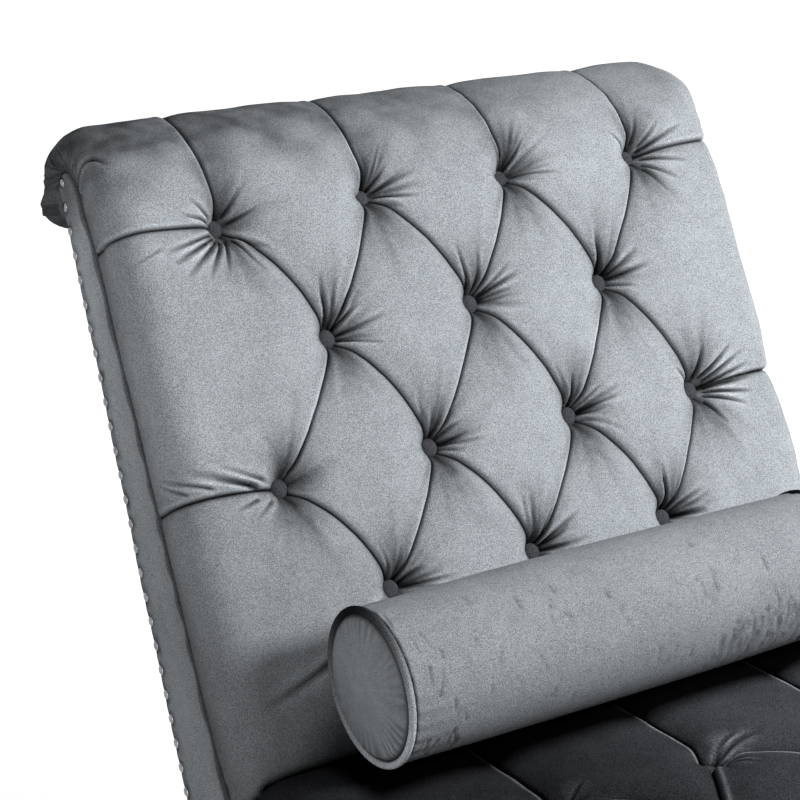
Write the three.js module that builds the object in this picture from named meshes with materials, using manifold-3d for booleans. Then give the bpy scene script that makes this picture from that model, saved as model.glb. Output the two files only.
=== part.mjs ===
// Armless chaise with a reclined scroll back, a button tufted cover and a loose bolster.
// Millimetres, +Z up, +Y towards the back, X across. The origin ends at the bottom centre of the box.
import * as THREE from 'three';
import Module from 'manifold-3d';
import { mergeVertices } from 'three/addons/utils/BufferGeometryUtils.js';

const wasm = await Module();
wasm.setup();

const degree = Math.PI / 180;

// Driving dimensions of the side profile
const overallWidth = 636;
const frameBottom = 205;
const creviceHeight = 404;
const reclineAngle = 27.3 * degree;
const backStraight = 440;
const rollTopRadius = 125;
const rollRadius = 46.5;
const seatRun = 1090;
const seatRise = 5 * degree;
const seatFall = 2 * degree;
const kneeRadius = 115;
const heelSetback = 67;
const heelRadius = 42;
const tipSetback = 11;
const tipDrop = 4;
const tipRadius = 15;
const panelTopGap = 45;

// Upholstery, measured inwards from the smooth line over the tops of the puffs
const padDepth = 58;
const tuftDepth = 28;
const creaseDepth = 13;
const valleyWidth = 24;
const valleyPower = 1.3;
const knotPower = 3;
const skinDepth = 33;
const skirtThickness = 22;
const edgeWidth = 28;
const edgeCrown = 6;
const sideBulge = 3;
const creviceReach = 55;
const endReach = 12;
const endDepth = 25;
const tuftsAcross = 4;
const rowPitch = 111;
const rowMargin = 100;
const firstBackRow = 112;
const firstSeatRow = 67;
const buttonRadius = 9;
const buttonHeight = 5;
const buttonNeck = 1.6;
const shankHeight = 6;
const shoulderShare = 0.6;
const middleShare = 0.5;

// Frame, webbing and covers
const clearance = 0.3;
const plyThickness = 18;
const bandThickness = 3.7;
const webWidth = 60;
const webThickness = 1.7;
const webInset = 2;
const backPanelThickness = 4;
const dustCoverThickness = 1.7;
const railDepth = 22;
const railWidth = 45;
const rearRailWidth = 90;
const seatBackRailDepth = 45;
const crossRailHeight = 60;
const crossRailThickness = 22;
const apronThickness = 18;
const backWebs = 3;
const firstBackWeb = 160;
const backWebPitch = 100;
const seatWebs = 6;
const firstSeatWeb = 150;
const seatWebPitch = 170;
const poleRadius = 11;
const notchMargin = 5;

// Feet
const footTopWidth = 62;
const footBottomWidth = 40;
const footChamfer = 5;
const rearFootSetback = 60;
const frontFootSetback = 90;
const plateWidth = 56;
const plateThickness = 2.5;
const screwRadius = 2.4;
const screwSpacing = 40;
const boltRadius = 4;
const boltHoleSlack = 0.4;
const boltRise = 34;
const boltSink = 26;
const blockWidth = 78;
const blockHeight = 45;

// Bolster
const bolsterRadius = 65.5;
const bolsterInset = 88;
const bolsterCrown = 2;
const bolsterSkin = 1.5;
const pipingRadius = 3;
const capBulge = 4;
const capGather = 0.8;
const capGathers = 12;

const halfWidth = overallWidth / 2;
const plyOuter = halfWidth - bandThickness - clearance;
const plyInner = plyOuter - plyThickness;
const innerReach = plyInner - clearance;
const webReach = plyOuter - webInset;
const foamTop = skinDepth + clearance;
const foamBottom = padDepth - webThickness - clearance;
const bandDepth = foamBottom + clearance;
const plyDepth = padDepth + clearance;
const buttonSpacing = (overallWidth - 2 * edgeWidth) / tuftsAcross;
const halfSpacing = buttonSpacing / 2;
const bolsterLength = overallWidth - 2 * bolsterInset;

const velvet = { color: 0x8c9298, roughness: 0.85, metalness: 0 };
const seatVelvet = { color: 0x3a3b40, roughness: 0.85, metalness: 0 };
const foamFinish = { color: 0xe8dfb8, roughness: 0.95, metalness: 0 };
const timber = { color: 0xc9a878, roughness: 0.7, metalness: 0 };
const footFinish = { color: 0x2c1d15, roughness: 0.45, metalness: 0 };
const steel = { color: 0xa9adb2, roughness: 0.35, metalness: 1 };
const webFinish = { color: 0x4f4a43, roughness: 0.9, metalness: 0 };
const dustFinish = { color: 0x1d1d1f, roughness: 0.95, metalness: 0 };

const chaise = new THREE.Group();

function place(name, geometry, finish) {
  const mesh = new THREE.Mesh(geometry, new THREE.MeshStandardMaterial(finish));
  mesh.name = name;
  chaise.add(mesh);
  return mesh;
}

// A point is [y, z] in the side plane, and a heading is measured from +Y towards +Z.
const along = (point, heading, distance) => [
  point[0] + Math.cos(heading) * distance,
  point[1] + Math.sin(heading) * distance,
];

const mix = (a, b, share) => a.map((value, i) => value + (b[i] - value) * share);

// A route of straight and round stretches. A positive turn bends left of the way it runs.
class Route {
  constructor(start, heading) {
    this.stretches = [];
    this.end = { point: start, heading };
    this.length = 0;
  }

  add(length, radius, turn) {
    const from = this.end;
    this.stretches.push({ from, length, radius, turn, start: this.length });
    this.length += length;
    this.end = this.at(this.length);
    return this;
  }

  line(length) {
    return this.add(length, 0, 0);
  }

  arc(radius, turn) {
    return this.add(radius * Math.abs(turn), radius, turn);
  }

  at(distance) {
    const stretch = this.stretches.findLast((s) => distance >= s.start) ?? this.stretches[0];
    const run = distance - stretch.start;
    const { point, heading } = stretch.from;
    if (!stretch.radius) return { point: along(point, heading, run), heading };
    const side = Math.sign(stretch.turn);
    const centre = along(point, heading + (side * Math.PI) / 2, stretch.radius);
    const swept = heading + (side * run) / stretch.radius;
    return { point: along(centre, swept - (side * Math.PI) / 2, stretch.radius), heading: swept };
  }
}

// The heading of the line from a point that touches a circle, with the circle on its left or right
function touchHeading(point, centre, radius, side) {
  const gap = Math.hypot(centre[0] - point[0], centre[1] - point[1]);
  const heading = Math.atan2(centre[1] - point[1], centre[0] - point[0]);
  return heading - side * Math.asin(radius / gap);
}

// The lines over the puffs: up the back and over the roll, and along the seat to the foot end
const crevice = [0, creviceHeight];
const backHeading = Math.PI / 2 - reclineAngle;
const backRoute = new Route(crevice, backHeading)
  .line(backStraight)
  .arc(rollTopRadius, -backHeading);
const archStart = backStraight;
const archEnd = backRoute.length;
const rollCentre = along(backRoute.end.point, -Math.PI / 2, rollRadius);

const seatRadius = seatRun / (seatRise + seatFall);
const seatHeading = Math.PI - seatRise;
const seatRoute = new Route(crevice, seatHeading)
  .arc(seatRadius, seatRise + seatFall)
  .arc(kneeRadius, Math.PI / 2 - seatFall);
const kneeEnd = seatRoute.length;
seatRoute.line(seatRoute.end.point[1] - frameBottom);

// Both pads meet on the plane that halves the angle between them.
const halfCrevice = (seatHeading - backHeading) / 2;
const creviceSlope = 1 / Math.tan(halfCrevice);

// The tip of the side band inside the roll, and the rear edge that runs down from it to the heel
const tipCentre = [rollCentre[0] - tipSetback, rollCentre[1] - tipDrop];
const heel = [heelSetback, frameBottom];
const rearHeading = touchHeading(heel, tipCentre, tipRadius, 1);
const heelReach = heelRadius * Math.tan(rearHeading / 2);
const rearLength = Math.hypot(tipCentre[0] - heel[0], tipCentre[1] - heel[1]);
const rearRoute = new Route([heel[0] - 2 * heelReach, heel[1]], 0)
  .line(heelReach)
  .arc(heelRadius, rearHeading)
  .line(Math.sqrt(rearLength ** 2 - tipRadius ** 2) - heelReach);

// The roll winds on until it comes back to the rear edge.
const outward = rearHeading - Math.PI / 2;
const rollSetback = tipSetback * Math.cos(outward) + tipDrop * Math.sin(outward);
const rollInset = tipRadius + clearance - rollSetback;
backRoute.arc(rollRadius, -(Math.PI / 2 - outward + Math.acos(rollInset / rollRadius)));

function squareSeam(route, distance, side) {
  const { point, heading } = route.at(distance);
  const shear = padDepth * creviceSlope * Math.max(0, 1 - distance / creviceReach);
  const inward = along(point, heading + (side * Math.PI) / 2, padDepth);
  return along(inward, heading + Math.PI, shear);
}

const archSeam = squareSeam(backRoute, archStart, -1);
const seamRadius = tipRadius + clearance;
const tipHeading = touchHeading(archSeam, tipCentre, seamRadius, -1);
const tipStart = tipHeading + Math.PI / 2;
const tipTurn = tipStart - outward;

// Where the side seam lies for each place on the back: square to the pad, then round the tip
function backSeam(distance) {
  if (distance <= archStart) return squareSeam(backRoute, distance, -1);
  if (distance <= archEnd) {
    const share = (distance - archStart) / (archEnd - archStart);
    return mix(archSeam, along(tipCentre, tipStart, seamRadius), share);
  }
  const share = (distance - archEnd) / (backRoute.length - archEnd);
  return along(tipCentre, tipStart - tipTurn * share, seamRadius);
}

const back = { route: backRoute, seam: backSeam };
const seat = { route: seatRoute, seam: (distance) => squareSeam(seatRoute, distance, 1) };
const rear = {
  route: rearRoute,
  seam: (distance) => {
    const { point, heading } = rearRoute.at(distance);
    return along(point, heading + Math.PI / 2, padDepth);
  },
};

// The point at a depth under the smooth line of a pad
const spot = (pad, distance, depth) => {
  return mix(pad.route.at(distance).point, pad.seam(distance), depth / padDepth);
};

// Evenly spaced places from one distance to another
const spread = (from, to, steps) => {
  return Array.from({ length: steps + 1 }, (_, i) => from + ((to - from) * i) / steps);
};

// The places along each line where the pads, the foam and the sides all have their corners
const backRows = 1 + Math.floor((archEnd - firstBackRow - rowMargin) / rowPitch);
const seatRows = 1 + Math.floor((kneeEnd - firstSeatRow - rowMargin) / rowPitch);
const lastBackRow = firstBackRow + (backRows - 1) * rowPitch;
const lastSeatRow = firstSeatRow + (seatRows - 1) * rowPitch;
const padStart = clearance / (2 * Math.sin(halfCrevice));
const bolsterTouch = bolsterRadius / Math.tan(halfCrevice);
const archPlaces = spread(lastBackRow, archEnd, 4).slice(1);
const rollPlaces = spread(archEnd, backRoute.length, 8).slice(1);
const backPlaces = [
  padStart, ...spread(bolsterTouch, firstBackRow, 2),
  ...spread(firstBackRow, lastBackRow, 3 * (backRows - 1)).slice(1), ...archPlaces, ...rollPlaces,
];
const seatPlaces = [
  padStart, bolsterTouch, ...spread(firstSeatRow, lastSeatRow, 2 * (seatRows - 1)),
  ...spread(lastSeatRow, seatRoute.length, 5).slice(1),
];
const heelPlaces = spread(heelReach, heelReach + heelRadius * rearHeading, 6);
const panelTop = rearRoute.length - panelTopGap;

function meshFrom(positions, triangles) {
  const geometry = new THREE.BufferGeometry();
  geometry.setAttribute('position', new THREE.Float32BufferAttribute(positions.flat(), 3));
  geometry.setIndex(triangles.flat());
  return facingOut(geometry);
}

function facingOut(geometry) {
  const place3 = geometry.attributes.position;
  const order = geometry.index.array;
  const [a, b, c] = [new THREE.Vector3(), new THREE.Vector3(), new THREE.Vector3()];
  let volume = 0;
  for (let i = 0; i < order.length; i += 3) {
    a.fromBufferAttribute(place3, order[i]);
    b.fromBufferAttribute(place3, order[i + 1]);
    c.fromBufferAttribute(place3, order[i + 2]);
    volume += a.dot(b.cross(c));
  }
  if (volume < 0) {
    for (let i = 0; i < order.length; i += 3) {
      [order[i], order[i + 1]] = [order[i + 1], order[i]];
    }
  }
  return geometry;
}

// Joins equal rings of points into a closed shell. A cell folds between its two deeper corners.
function shellOf(rings, capOutline, depthAt) {
  const count = rings[0].length;
  const positions = rings.flat();
  const triangles = [];
  for (let j = 0; j + 1 < rings.length; j += 1) {
    for (let i = 0; i < count; i += 1) {
      const next = (i + 1) % count;
      const [a, b, c, d] = [j * count + i, j * count + next, (j + 1) * count + next, (j + 1) * count + i];
      const folded = depthAt && depthAt(j, i) + depthAt(j + 1, next) < depthAt(j, next) + depthAt(j + 1, i);
      if (folded) triangles.push([a, b, d], [b, c, d]);
      else triangles.push([a, b, c], [a, c, d]);
    }
  }
  const cap = THREE.ShapeUtils.triangulateShape(capOutline.map(([x, y]) => new THREE.Vector2(x, y)), []);
  const last = (rings.length - 1) * count;
  const flip = THREE.ShapeUtils.isClockWise(capOutline.map(([x, y]) => new THREE.Vector2(x, y)));
  for (const [a, b, c] of cap) {
    const face = flip ? [a, b, c] : [a, c, b];
    triangles.push(face, face.map((corner) => corner + last).reverse());
  }
  return { positions, triangles };
}

function loft(rings, capOutline) {
  const { positions, triangles } = shellOf(rings, capOutline);
  return meshFrom(positions, triangles);
}

// A flat or bent slab that follows a pad between two depths
function slab(pad, places, top, bottom, reach) {
  const outline = [[-reach, top], [reach, top], [reach, bottom], [-reach, bottom]];
  const rings = places.map((distance) => outline.map(([x, depth]) => [x, ...spot(pad, distance, depth)]));
  return loft(rings, outline);
}

// A plate cut to an outline in the side plane
function sidePlate(outline, from, thickness, holes = []) {
  const shape = new THREE.Shape(outline.map(([y, z]) => new THREE.Vector2(y, z)));
  shape.holes = holes;
  const geometry = new THREE.ExtrudeGeometry(shape, { depth: thickness, bevelEnabled: false });
  const [axisX, axisY, axisZ] = [[1, 0, 0], [0, 1, 0], [0, 0, 1]].map((v) => new THREE.Vector3(...v));
  geometry.applyMatrix4(new THREE.Matrix4().makeBasis(axisY, axisZ, axisX));
  return geometry.translate(from, 0, 0);
}

function solidOf(geometry) {
  const bare = geometry.clone();
  bare.deleteAttribute('normal');
  bare.deleteAttribute('uv');
  const merged = mergeVertices(bare);
  const vertProperties = new Float32Array(merged.attributes.position.array);
  const triVerts = new Uint32Array(merged.index.array);
  return new wasm.Manifold(new wasm.Mesh({ numProp: 3, vertProperties, triVerts }));
}

function geometryOf(solid) {
  const { vertProperties, triVerts } = solid.getMesh();
  const geometry = new THREE.BufferGeometry();
  geometry.setAttribute('position', new THREE.BufferAttribute(new Float32Array(vertProperties), 3));
  geometry.setIndex(new THREE.BufferAttribute(new Uint32Array(triVerts), 1));
  return geometry;
}

// Rows of buttons: four, then three between them, and so on
function buttonRow(distance, wide) {
  const count = wide ? tuftsAcross : tuftsAcross - 1;
  return { distance, places: spread(-(count - 1) * halfSpacing, (count - 1) * halfSpacing, count - 1) };
}

const backButtons = Array.from({ length: backRows }, (_, i) => {
  return buttonRow(firstBackRow + i * rowPitch, i % 2 === 1);
});
const seatButtons = Array.from({ length: seatRows }, (_, i) => {
  return buttonRow(firstSeatRow + i * rowPitch, i % 2 === 0);
});

// Folds run from each button to its neighbours in the next row, to the sides and off both ends.
function foldsOf(rows, length) {
  const folds = [];
  rows.forEach((row, i) => {
    const wide = row.places.length === tuftsAcross;
    for (const x of row.places) {
      const from = [x, row.distance];
      for (const near of rows[i + 1]?.places ?? []) {
        const neighbour = Math.abs(near - x) < buttonSpacing;
        if (neighbour) folds.push({ from, to: [near, rows[i + 1].distance], shut: true });
      }
      if (i === 0) folds.push({ from, to: [x, 0], shut: false });
      if (i === rows.length - 1) folds.push({ from, to: [x, length], shut: false });
      const outer = wide && (x === row.places[0] || x === row.places[tuftsAcross - 1]);
      if (outer) folds.push({ from, to: [Math.sign(x) * halfWidth, row.distance], shut: false });
    }
  });
  return folds;
}

// How far the cover sinks at a place: deepest at a button, less along the folds
function sinkAt(folds, x, distance) {
  let sink = 0;
  for (const { from, to, shut } of folds) {
    const run = [to[0] - from[0], to[1] - from[1]];
    const size = run[0] ** 2 + run[1] ** 2;
    const raw = ((x - from[0]) * run[0] + (distance - from[1]) * run[1]) / size;
    const share = THREE.MathUtils.clamp(raw, 0, 1);
    const gap = Math.hypot(x - from[0] - run[0] * share, distance - from[1] - run[1] * share);
    const nearButton = shut ? Math.abs(2 * share - 1) : 1 - share;
    const floor = creaseDepth + (tuftDepth - creaseDepth) * nearButton ** knotPower;
    sink = Math.max(sink, floor * Math.exp(-((gap / valleyWidth) ** valleyPower)));
  }
  return sink;
}

// Both ends of a cover are drawn in to where it is sewn down.
const endSink = (distance) => endDepth * Math.exp(-distance / endReach);

// A tufted cover: a skin over the foam with a rolled edge down each side
function tuftedShell(pad, folds, columns, places) {
  const shape = (distance) => {
    const drawnIn = endSink(Math.min(distance, pad.route.length - distance));
    const top = columns.map((x) => [x, Math.max(sinkAt(folds, x, distance), drawnIn)]);
    const pulled = sinkAt(folds, halfWidth, distance) / tuftDepth;
    const shoulder = Math.max(edgeCrown, drawnIn) + pulled * creaseDepth * shoulderShare;
    const right = [
      [halfWidth - edgeWidth * (1 - shoulderShare), shoulder],
      [halfWidth + sideBulge * (middleShare - pulled), skinDepth],
      [halfWidth, foamBottom],
      [halfWidth - skirtThickness, foamBottom],
      [halfWidth - skirtThickness, skinDepth],
    ];
    const left = right.map(([x, depth]) => [-x, depth]).reverse();
    return [...top, ...right, ...left];
  };
  const shapes = places.map(shape);
  const rings = shapes.map((points, j) => points.map(([x, d]) => [x, ...spot(pad, places[j], d)]));
  return shellOf(rings, shapes[0], (j, i) => shapes[j][i][1]);
}

// Grows a covered button out of one corner of a shell, over the faces that meet there
function growButton({ positions, triangles }, corner, axis) {
  const base = new THREE.Vector3(...positions[corner]);
  const round = triangles.filter((face) => face.includes(corner));
  const feet = new Map();
  for (const neighbour of new Set(round.flat().filter((other) => other !== corner))) {
    const spoke = new THREE.Vector3(...positions[neighbour]).sub(base);
    const flat = spoke.clone().projectOnPlane(axis);
    const foot = spoke.multiplyScalar(buttonRadius / flat.length());
    const rim = flat.setLength(buttonRadius).addScaledVector(axis, shankHeight);
    feet.set(neighbour, [positions.length, positions.length + 1]);
    positions.push(foot.add(base).toArray(), rim.add(base).toArray());
  }
  for (const face of round) {
    const turn = face.indexOf(corner);
    const [a, b] = [face[(turn + 1) % 3], face[(turn + 2) % 3]];
    const [[footA, rimA], [footB, rimB]] = [feet.get(a), feet.get(b)];
    triangles.splice(triangles.indexOf(face), 1);
    triangles.push([footA, a, b], [footA, b, footB], [rimA, footA, footB], [rimA, footB, rimB]);
    triangles.push([corner, rimA, rimB]);
  }
  positions[corner] = base.addScaledVector(axis, shankHeight + buttonHeight).toArray();
}

function addCovers() {
  const reach = halfWidth - edgeWidth;
  const fine = spread(-reach, reach, 6 * tuftsAcross);
  const backFolds = foldsOf(backButtons, backRoute.length);
  const backShell = tuftedShell(back, backFolds, fine, backPlaces);
  place('back_cover', meshFrom(backShell.positions, backShell.triangles), velvet);

  const inner = reach - halfSpacing;
  const coarse = [-reach, ...spread(-inner, inner, 4 * (tuftsAcross - 1)), reach];
  const seatFolds = foldsOf(seatButtons, seatRoute.length);
  const seatShell = tuftedShell(seat, seatFolds, coarse, seatPlaces);
  const ringSize = seatShell.positions.length / seatPlaces.length;
  for (const { x, distance } of buttonSpots(seatButtons)) {
    const corner = ringSize * nearest(seatPlaces, distance) + nearest(coarse, x);
    const outwards = seatRoute.at(distance).heading - Math.PI / 2;
    growButton(seatShell, corner, new THREE.Vector3(0, ...along([0, 0], outwards, 1)));
  }
  place('seat_cover', meshFrom(seatShell.positions, seatShell.triangles), seatVelvet);
}

function nearest(list, value) {
  const gaps = list.map((entry) => Math.abs(entry - value));
  return gaps.indexOf(Math.min(...gaps));
}

const buttonSpots = (rows) => rows.flatMap(({ distance, places }) => places.map((x) => ({ x, distance })));

// Stands a turned shape on the back with its axis square to the surface and its foot in the tuft
function onBack(geometry, x, distance) {
  const [y, z] = spot(back, distance, tuftDepth - buttonNeck);
  geometry.rotateX(backRoute.at(distance).heading + Math.PI / 2);
  return geometry.translate(x, y, z);
}

function turned(profile, sides) {
  return new THREE.LatheGeometry(profile.map(([r, h]) => new THREE.Vector2(r, h)), sides);
}

// A covered button: a shank that widens to the rim, and a domed crown over it
const crownShares = [[1, 0], [0.92, 0.4], [0.6, 0.85], [0, 1]];

function backButton() {
  const crown = crownShares.map(([out, up]) => [buttonRadius * out, shankHeight + buttonHeight * up]);
  return turned([[0, 0], [buttonNeck, 0], ...crown], 12);
}

function addButtons() {
  buttonSpots(backButtons).forEach(({ x, distance }, i) => {
    place(`back_button_${i + 1}`, onBack(backButton(), x, distance), velvet);
  });
}

function addFoam() {
  const backStretch = backPlaces.filter((distance) => distance <= lastBackRow);
  place('back_foam', slab(back, backStretch, foamTop, foamBottom, innerReach), foamFinish);
  place('seat_foam', slab(seat, seatPlaces, foamTop, foamBottom, innerReach), foamFinish);

  const start = lastBackRow + clearance;
  const outer = [start, ...archPlaces, ...rollPlaces].map((distance) => spot(back, distance, foamTop));
  const outline = [spot(back, start, foamBottom), ...outer];
  const bore = new THREE.Path().absarc(tipCentre[0], tipCentre[1], poleRadius + clearance, 0, 2 * Math.PI);
  const sides = 12;
  const hole = new THREE.Path(bore.getPoints(sides).slice(0, -1));
  place('roll_foam', sidePlate(outline, -innerReach, 2 * innerReach, [hole]), foamFinish);
}

// The outline of the side: the seam round the pads, the bottom edge, the heel and the rear edge
function sideOutline(depth, rearInset) {
  return [
    ...backPlaces.slice(0, -1).map((distance) => spot(back, distance, depth)).reverse(),
    ...seatPlaces.slice(1).map((distance) => spot(seat, distance, depth)),
    ...[...heelPlaces, rearRoute.length].map((distance) => spot(rear, distance, rearInset)),
  ];
}

function addSides() {
  const plyOutline = sideOutline(plyDepth, backPanelThickness + clearance);
  const bandOutline = sideOutline(bandDepth, 0);
  for (const [side, sign] of [['left', -1], ['right', 1]]) {
    const plyFrom = sign > 0 ? plyInner : -plyOuter;
    const bandFrom = sign > 0 ? halfWidth - bandThickness : -halfWidth;
    place(`side_panel_${side}`, sidePlate(plyOutline, plyFrom, plyThickness), timber);
    place(`side_band_${side}`, sidePlate(bandOutline, bandFrom, bandThickness), velvet);
  }
}

function addRails() {
  const railTop = plyDepth;
  const rail = (name, pad, from, to, depth) => {
    place(name, slab(pad, [from, to], railTop, railTop + depth, innerReach), timber);
  };
  rail('top_rail', back, archStart - railWidth, archStart, railDepth);
  rail('back_lower_rail', back, creviceReach, creviceReach + railWidth, railDepth);
  rail('seat_back_rail', seat, creviceReach, creviceReach + railDepth, seatBackRailDepth);
  rail('knee_rail', seat, seatRun - railWidth, seatRun, railDepth);
  rail('front_apron', seat, kneeEnd, seatRoute.length, apronThickness);

  const inset = backPanelThickness + clearance;
  const rise = heelReach + heelRadius * rearHeading;
  const rearBoard = slab(rear, [rise, rise + rearRailWidth], inset, inset + apronThickness, innerReach);
  place('rear_rail', rearBoard, timber);

  const pole = new THREE.CylinderGeometry(poleRadius, poleRadius, 2 * innerReach, 12);
  place('roll_pole', pole.rotateZ(Math.PI / 2).translate(0, ...tipCentre), timber);

  const frontY = spot(seat, seatRoute.length, plyDepth + apronThickness)[0];
  const middleY = (frontY + heel[0] - heelReach) / 2;
  const bar = new THREE.BoxGeometry(2 * innerReach, crossRailThickness, crossRailHeight);
  place('seat_cross_rail', bar.translate(0, middleY, frameBottom + crossRailHeight / 2), timber);
}

function addWebbing() {
  const top = foamBottom + clearance;
  const bottom = padDepth;
  const strap = (name, pad, centre) => {
    const [from, to] = [centre - webWidth / 2, centre + webWidth / 2];
    place(name, slab(pad, [from, to], top, bottom, webReach), webFinish);
  };
  for (let i = 0; i < backWebs; i += 1) strap(`back_web_${i + 1}`, back, firstBackWeb + i * backWebPitch);
  for (let i = 0; i < seatWebs; i += 1) strap(`seat_web_${i + 1}`, seat, firstSeatWeb + i * seatWebPitch);
}

// The four feet stand in from the corners of the frame.
const frontFace = spot(seat, seatRoute.length, plyDepth)[0];
const footX = innerReach - blockWidth / 2;
const feet = [
  ['front_left', -footX, frontFace + frontFootSetback],
  ['front_right', footX, frontFace + frontFootSetback],
  ['rear_left', -footX, heel[0] - rearFootSetback - heelReach],
  ['rear_right', footX, heel[0] - rearFootSetback - heelReach],
];
const plateTop = frameBottom - clearance;
const footTop = plateTop - plateThickness - clearance;

function addPanels() {
  const panel = slab(rear, [...heelPlaces, panelTop], 0, backPanelThickness, plyOuter);
  place('outside_back_panel', panel, velvet);

  const [front, rearEnd] = [frontFace, heel[0] - heelReach];
  const notch = plateWidth / 2 + notchMargin;
  const [frontIn, rearIn] = [feet[0][2] + notch, feet[2][2] - notch];
  const [wide, narrow] = [innerReach, footX - notch];
  const corners = [
    [-narrow, front], [narrow, front], [narrow, frontIn], [wide, frontIn],
    [wide, rearIn], [narrow, rearIn], [narrow, rearEnd], [-narrow, rearEnd],
    [-narrow, rearIn], [-wide, rearIn], [-wide, frontIn], [-narrow, frontIn],
  ];
  const sheet = new THREE.Shape(corners.map(([x, y]) => new THREE.Vector2(x, y)));
  const cover = new THREE.ExtrudeGeometry(sheet, { depth: dustCoverThickness, bevelEnabled: false });
  place('dust_cover', cover.translate(0, 0, frameBottom - clearance - dustCoverThickness), dustFinish);
}

// A square with cut corners
function chamferedSquare(width, chamfer) {
  const [far, near] = [width / 2, width / 2 - chamfer];
  return [
    [near, -far], [far, -near], [far, near], [near, far],
    [-near, far], [-far, near], [-far, -near], [-near, -far],
  ];
}

function boltHole(length, x, y, z) {
  const hole = new THREE.CylinderGeometry(boltRadius + boltHoleSlack, boltRadius + boltHoleSlack, length, 10);
  return solidOf(hole.rotateX(Math.PI / 2).translate(x, y, z));
}

function addFeet() {
  for (const [corner, x, y] of feet) {
    const levels = [[0, footBottomWidth], [footTop, footTopWidth]];
    const rings = levels.map(([z, width]) => {
      return chamferedSquare(width, footChamfer).map(([u, v]) => [x + u, y + v, z]);
    });
    const body = solidOf(loft(rings, chamferedSquare(footBottomWidth, footChamfer)));
    const foot = body.subtract(boltHole(2 * (boltSink + boltHoleSlack), x, y, footTop));
    place(`foot_${corner}`, geometryOf(foot), footFinish);

    const plateCorners = chamferedSquare(plateWidth, footChamfer);
    const plate = new THREE.Shape(plateCorners.map(([u, v]) => new THREE.Vector2(u, v)));
    const screwReach = screwSpacing / 2;
    for (const [u, v] of [[-1, -1], [1, -1], [1, 1], [-1, 1]]) {
      const screw = new THREE.Path();
      screw.absarc(u * screwReach, v * screwReach, screwRadius, 0, 2 * Math.PI);
      plate.holes.push(new THREE.Path(screw.getPoints(6).slice(0, -1)));
    }
    const sheet = new THREE.ExtrudeGeometry(plate, { depth: plateThickness, bevelEnabled: false });
    const bolt = new THREE.CylinderGeometry(boltRadius, boltRadius, boltRise + boltSink, 10);
    const middle = footTop + (boltRise - boltSink) / 2;
    const stud = solidOf(bolt.rotateX(Math.PI / 2).translate(x, y, middle));
    const studded = solidOf(sheet.translate(x, y, plateTop - plateThickness)).add(stud);
    place(`mounting_plate_${corner}`, geometryOf(studded), steel);

    const block = new THREE.BoxGeometry(blockWidth, blockWidth, blockHeight);
    const blockSolid = solidOf(block.translate(x, y, frameBottom + blockHeight / 2));
    const bored = blockSolid.subtract(boltHole(2 * (boltRise + boltHoleSlack), x, y, footTop));
    place(`leg_block_${corner}`, geometryOf(bored), timber);
  }
}

// The bolster lies in the crevice, where it touches the drawn-in covers of the back and the seat.
const bolsterLift = bolsterRadius + clearance - endSink(bolsterTouch);
const bolsterReach = bolsterLift / Math.tan(halfCrevice);
const underBolster = along(crevice, seatHeading, bolsterReach);
const bolsterCentre = along(underBolster, seatHeading - Math.PI / 2, bolsterLift);

// Lays a turned shape across the seat, with one of its corners towards the seat
function acrossBolster(geometry) {
  return geometry.rotateZ(-Math.PI / 2).rotateX(seatHeading).translate(0, ...bolsterCentre);
}

function addBolster() {
  const end = bolsterLength / 2 - 2 * pipingRadius - clearance;
  const crownAt = (share) => bolsterRadius - bolsterCrown * share ** 2;
  const shares = spread(-1, 1, 8);
  const outside = shares.map((share) => [crownAt(share), share * end]);
  const inside = outside.map(([r, h]) => [r - bolsterSkin, h]).reverse();
  place('bolster_cover', acrossBolster(turned([...outside, ...inside, outside[0]], 32)), velvet);

  const core = shares.map((share) => [crownAt(share) - bolsterSkin - clearance, share * end]);
  place('bolster_core', acrossBolster(turned([[0, -end], ...core, [0, end]], 24)), foamFinish);

  const ringRadius = bolsterRadius - pipingRadius;
  const capRadius = ringRadius - pipingRadius - clearance;
  for (const [side, sign] of [['left', -1], ['right', 1]]) {
    const ring = new THREE.TorusGeometry(ringRadius, pipingRadius, 8, 32).rotateX(Math.PI / 2);
    ring.translate(0, sign * (bolsterLength / 2 - pipingRadius), 0);
    place(`bolster_piping_${side}`, acrossBolster(ring), velvet);

    const cap = gatheredCap(capRadius);
    if (sign < 0) cap.rotateX(Math.PI);
    cap.translate(0, sign * (end + clearance), 0);
    place(`bolster_end_${side}`, acrossBolster(cap), velvet);
  }
}

// A round end panel with a low crown and gathers that run in from the piping
function gatheredCap(radius) {
  const steps = 2 * capGathers;
  const ringShares = [1, 0.85, 0.6, 0.3];
  const rise = 2 * pipingRadius;
  const rings = ringShares.map((share, level) => {
    return Array.from({ length: steps }, (_, i) => {
      const gather = level < 3 ? capGather * (i % 2 ? 1 : -1) * share : 0;
      const height = rise + capBulge * (1 - share ** 2) - (level === 0 ? pipingRadius : 0) + gather;
      const angle = (i / steps) * 2 * Math.PI;
      return [Math.cos(angle) * radius * share, height, Math.sin(angle) * radius * share];
    });
  });
  const base = rings[0].map(([x, , z]) => [x, 0, z]);
  const outline = rings[0].map(([x, , z]) => [x, z]);
  return loft([base, ...rings], outline);
}

addCovers();
addButtons();
addFoam();
addSides();
addRails();
addWebbing();
addPanels();
addFeet();
addBolster();

// The origin moves to the bottom centre of the whole piece.
const box = new THREE.Box3().setFromObject(chaise);
const middleOfBox = box.getCenter(new THREE.Vector3());
chaise.position.set(-middleOfBox.x, -middleOfBox.y, -box.min.z);

export default chaise;
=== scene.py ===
"""An armless chaise with a reclined scroll back, covered in button tufted velvet.

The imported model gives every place. The covers follow the same side lines as the model's, in
millimetres: +Y towards the back, +Z up, and Y = 0 at the crevice between back and seat.
"""

import math

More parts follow.
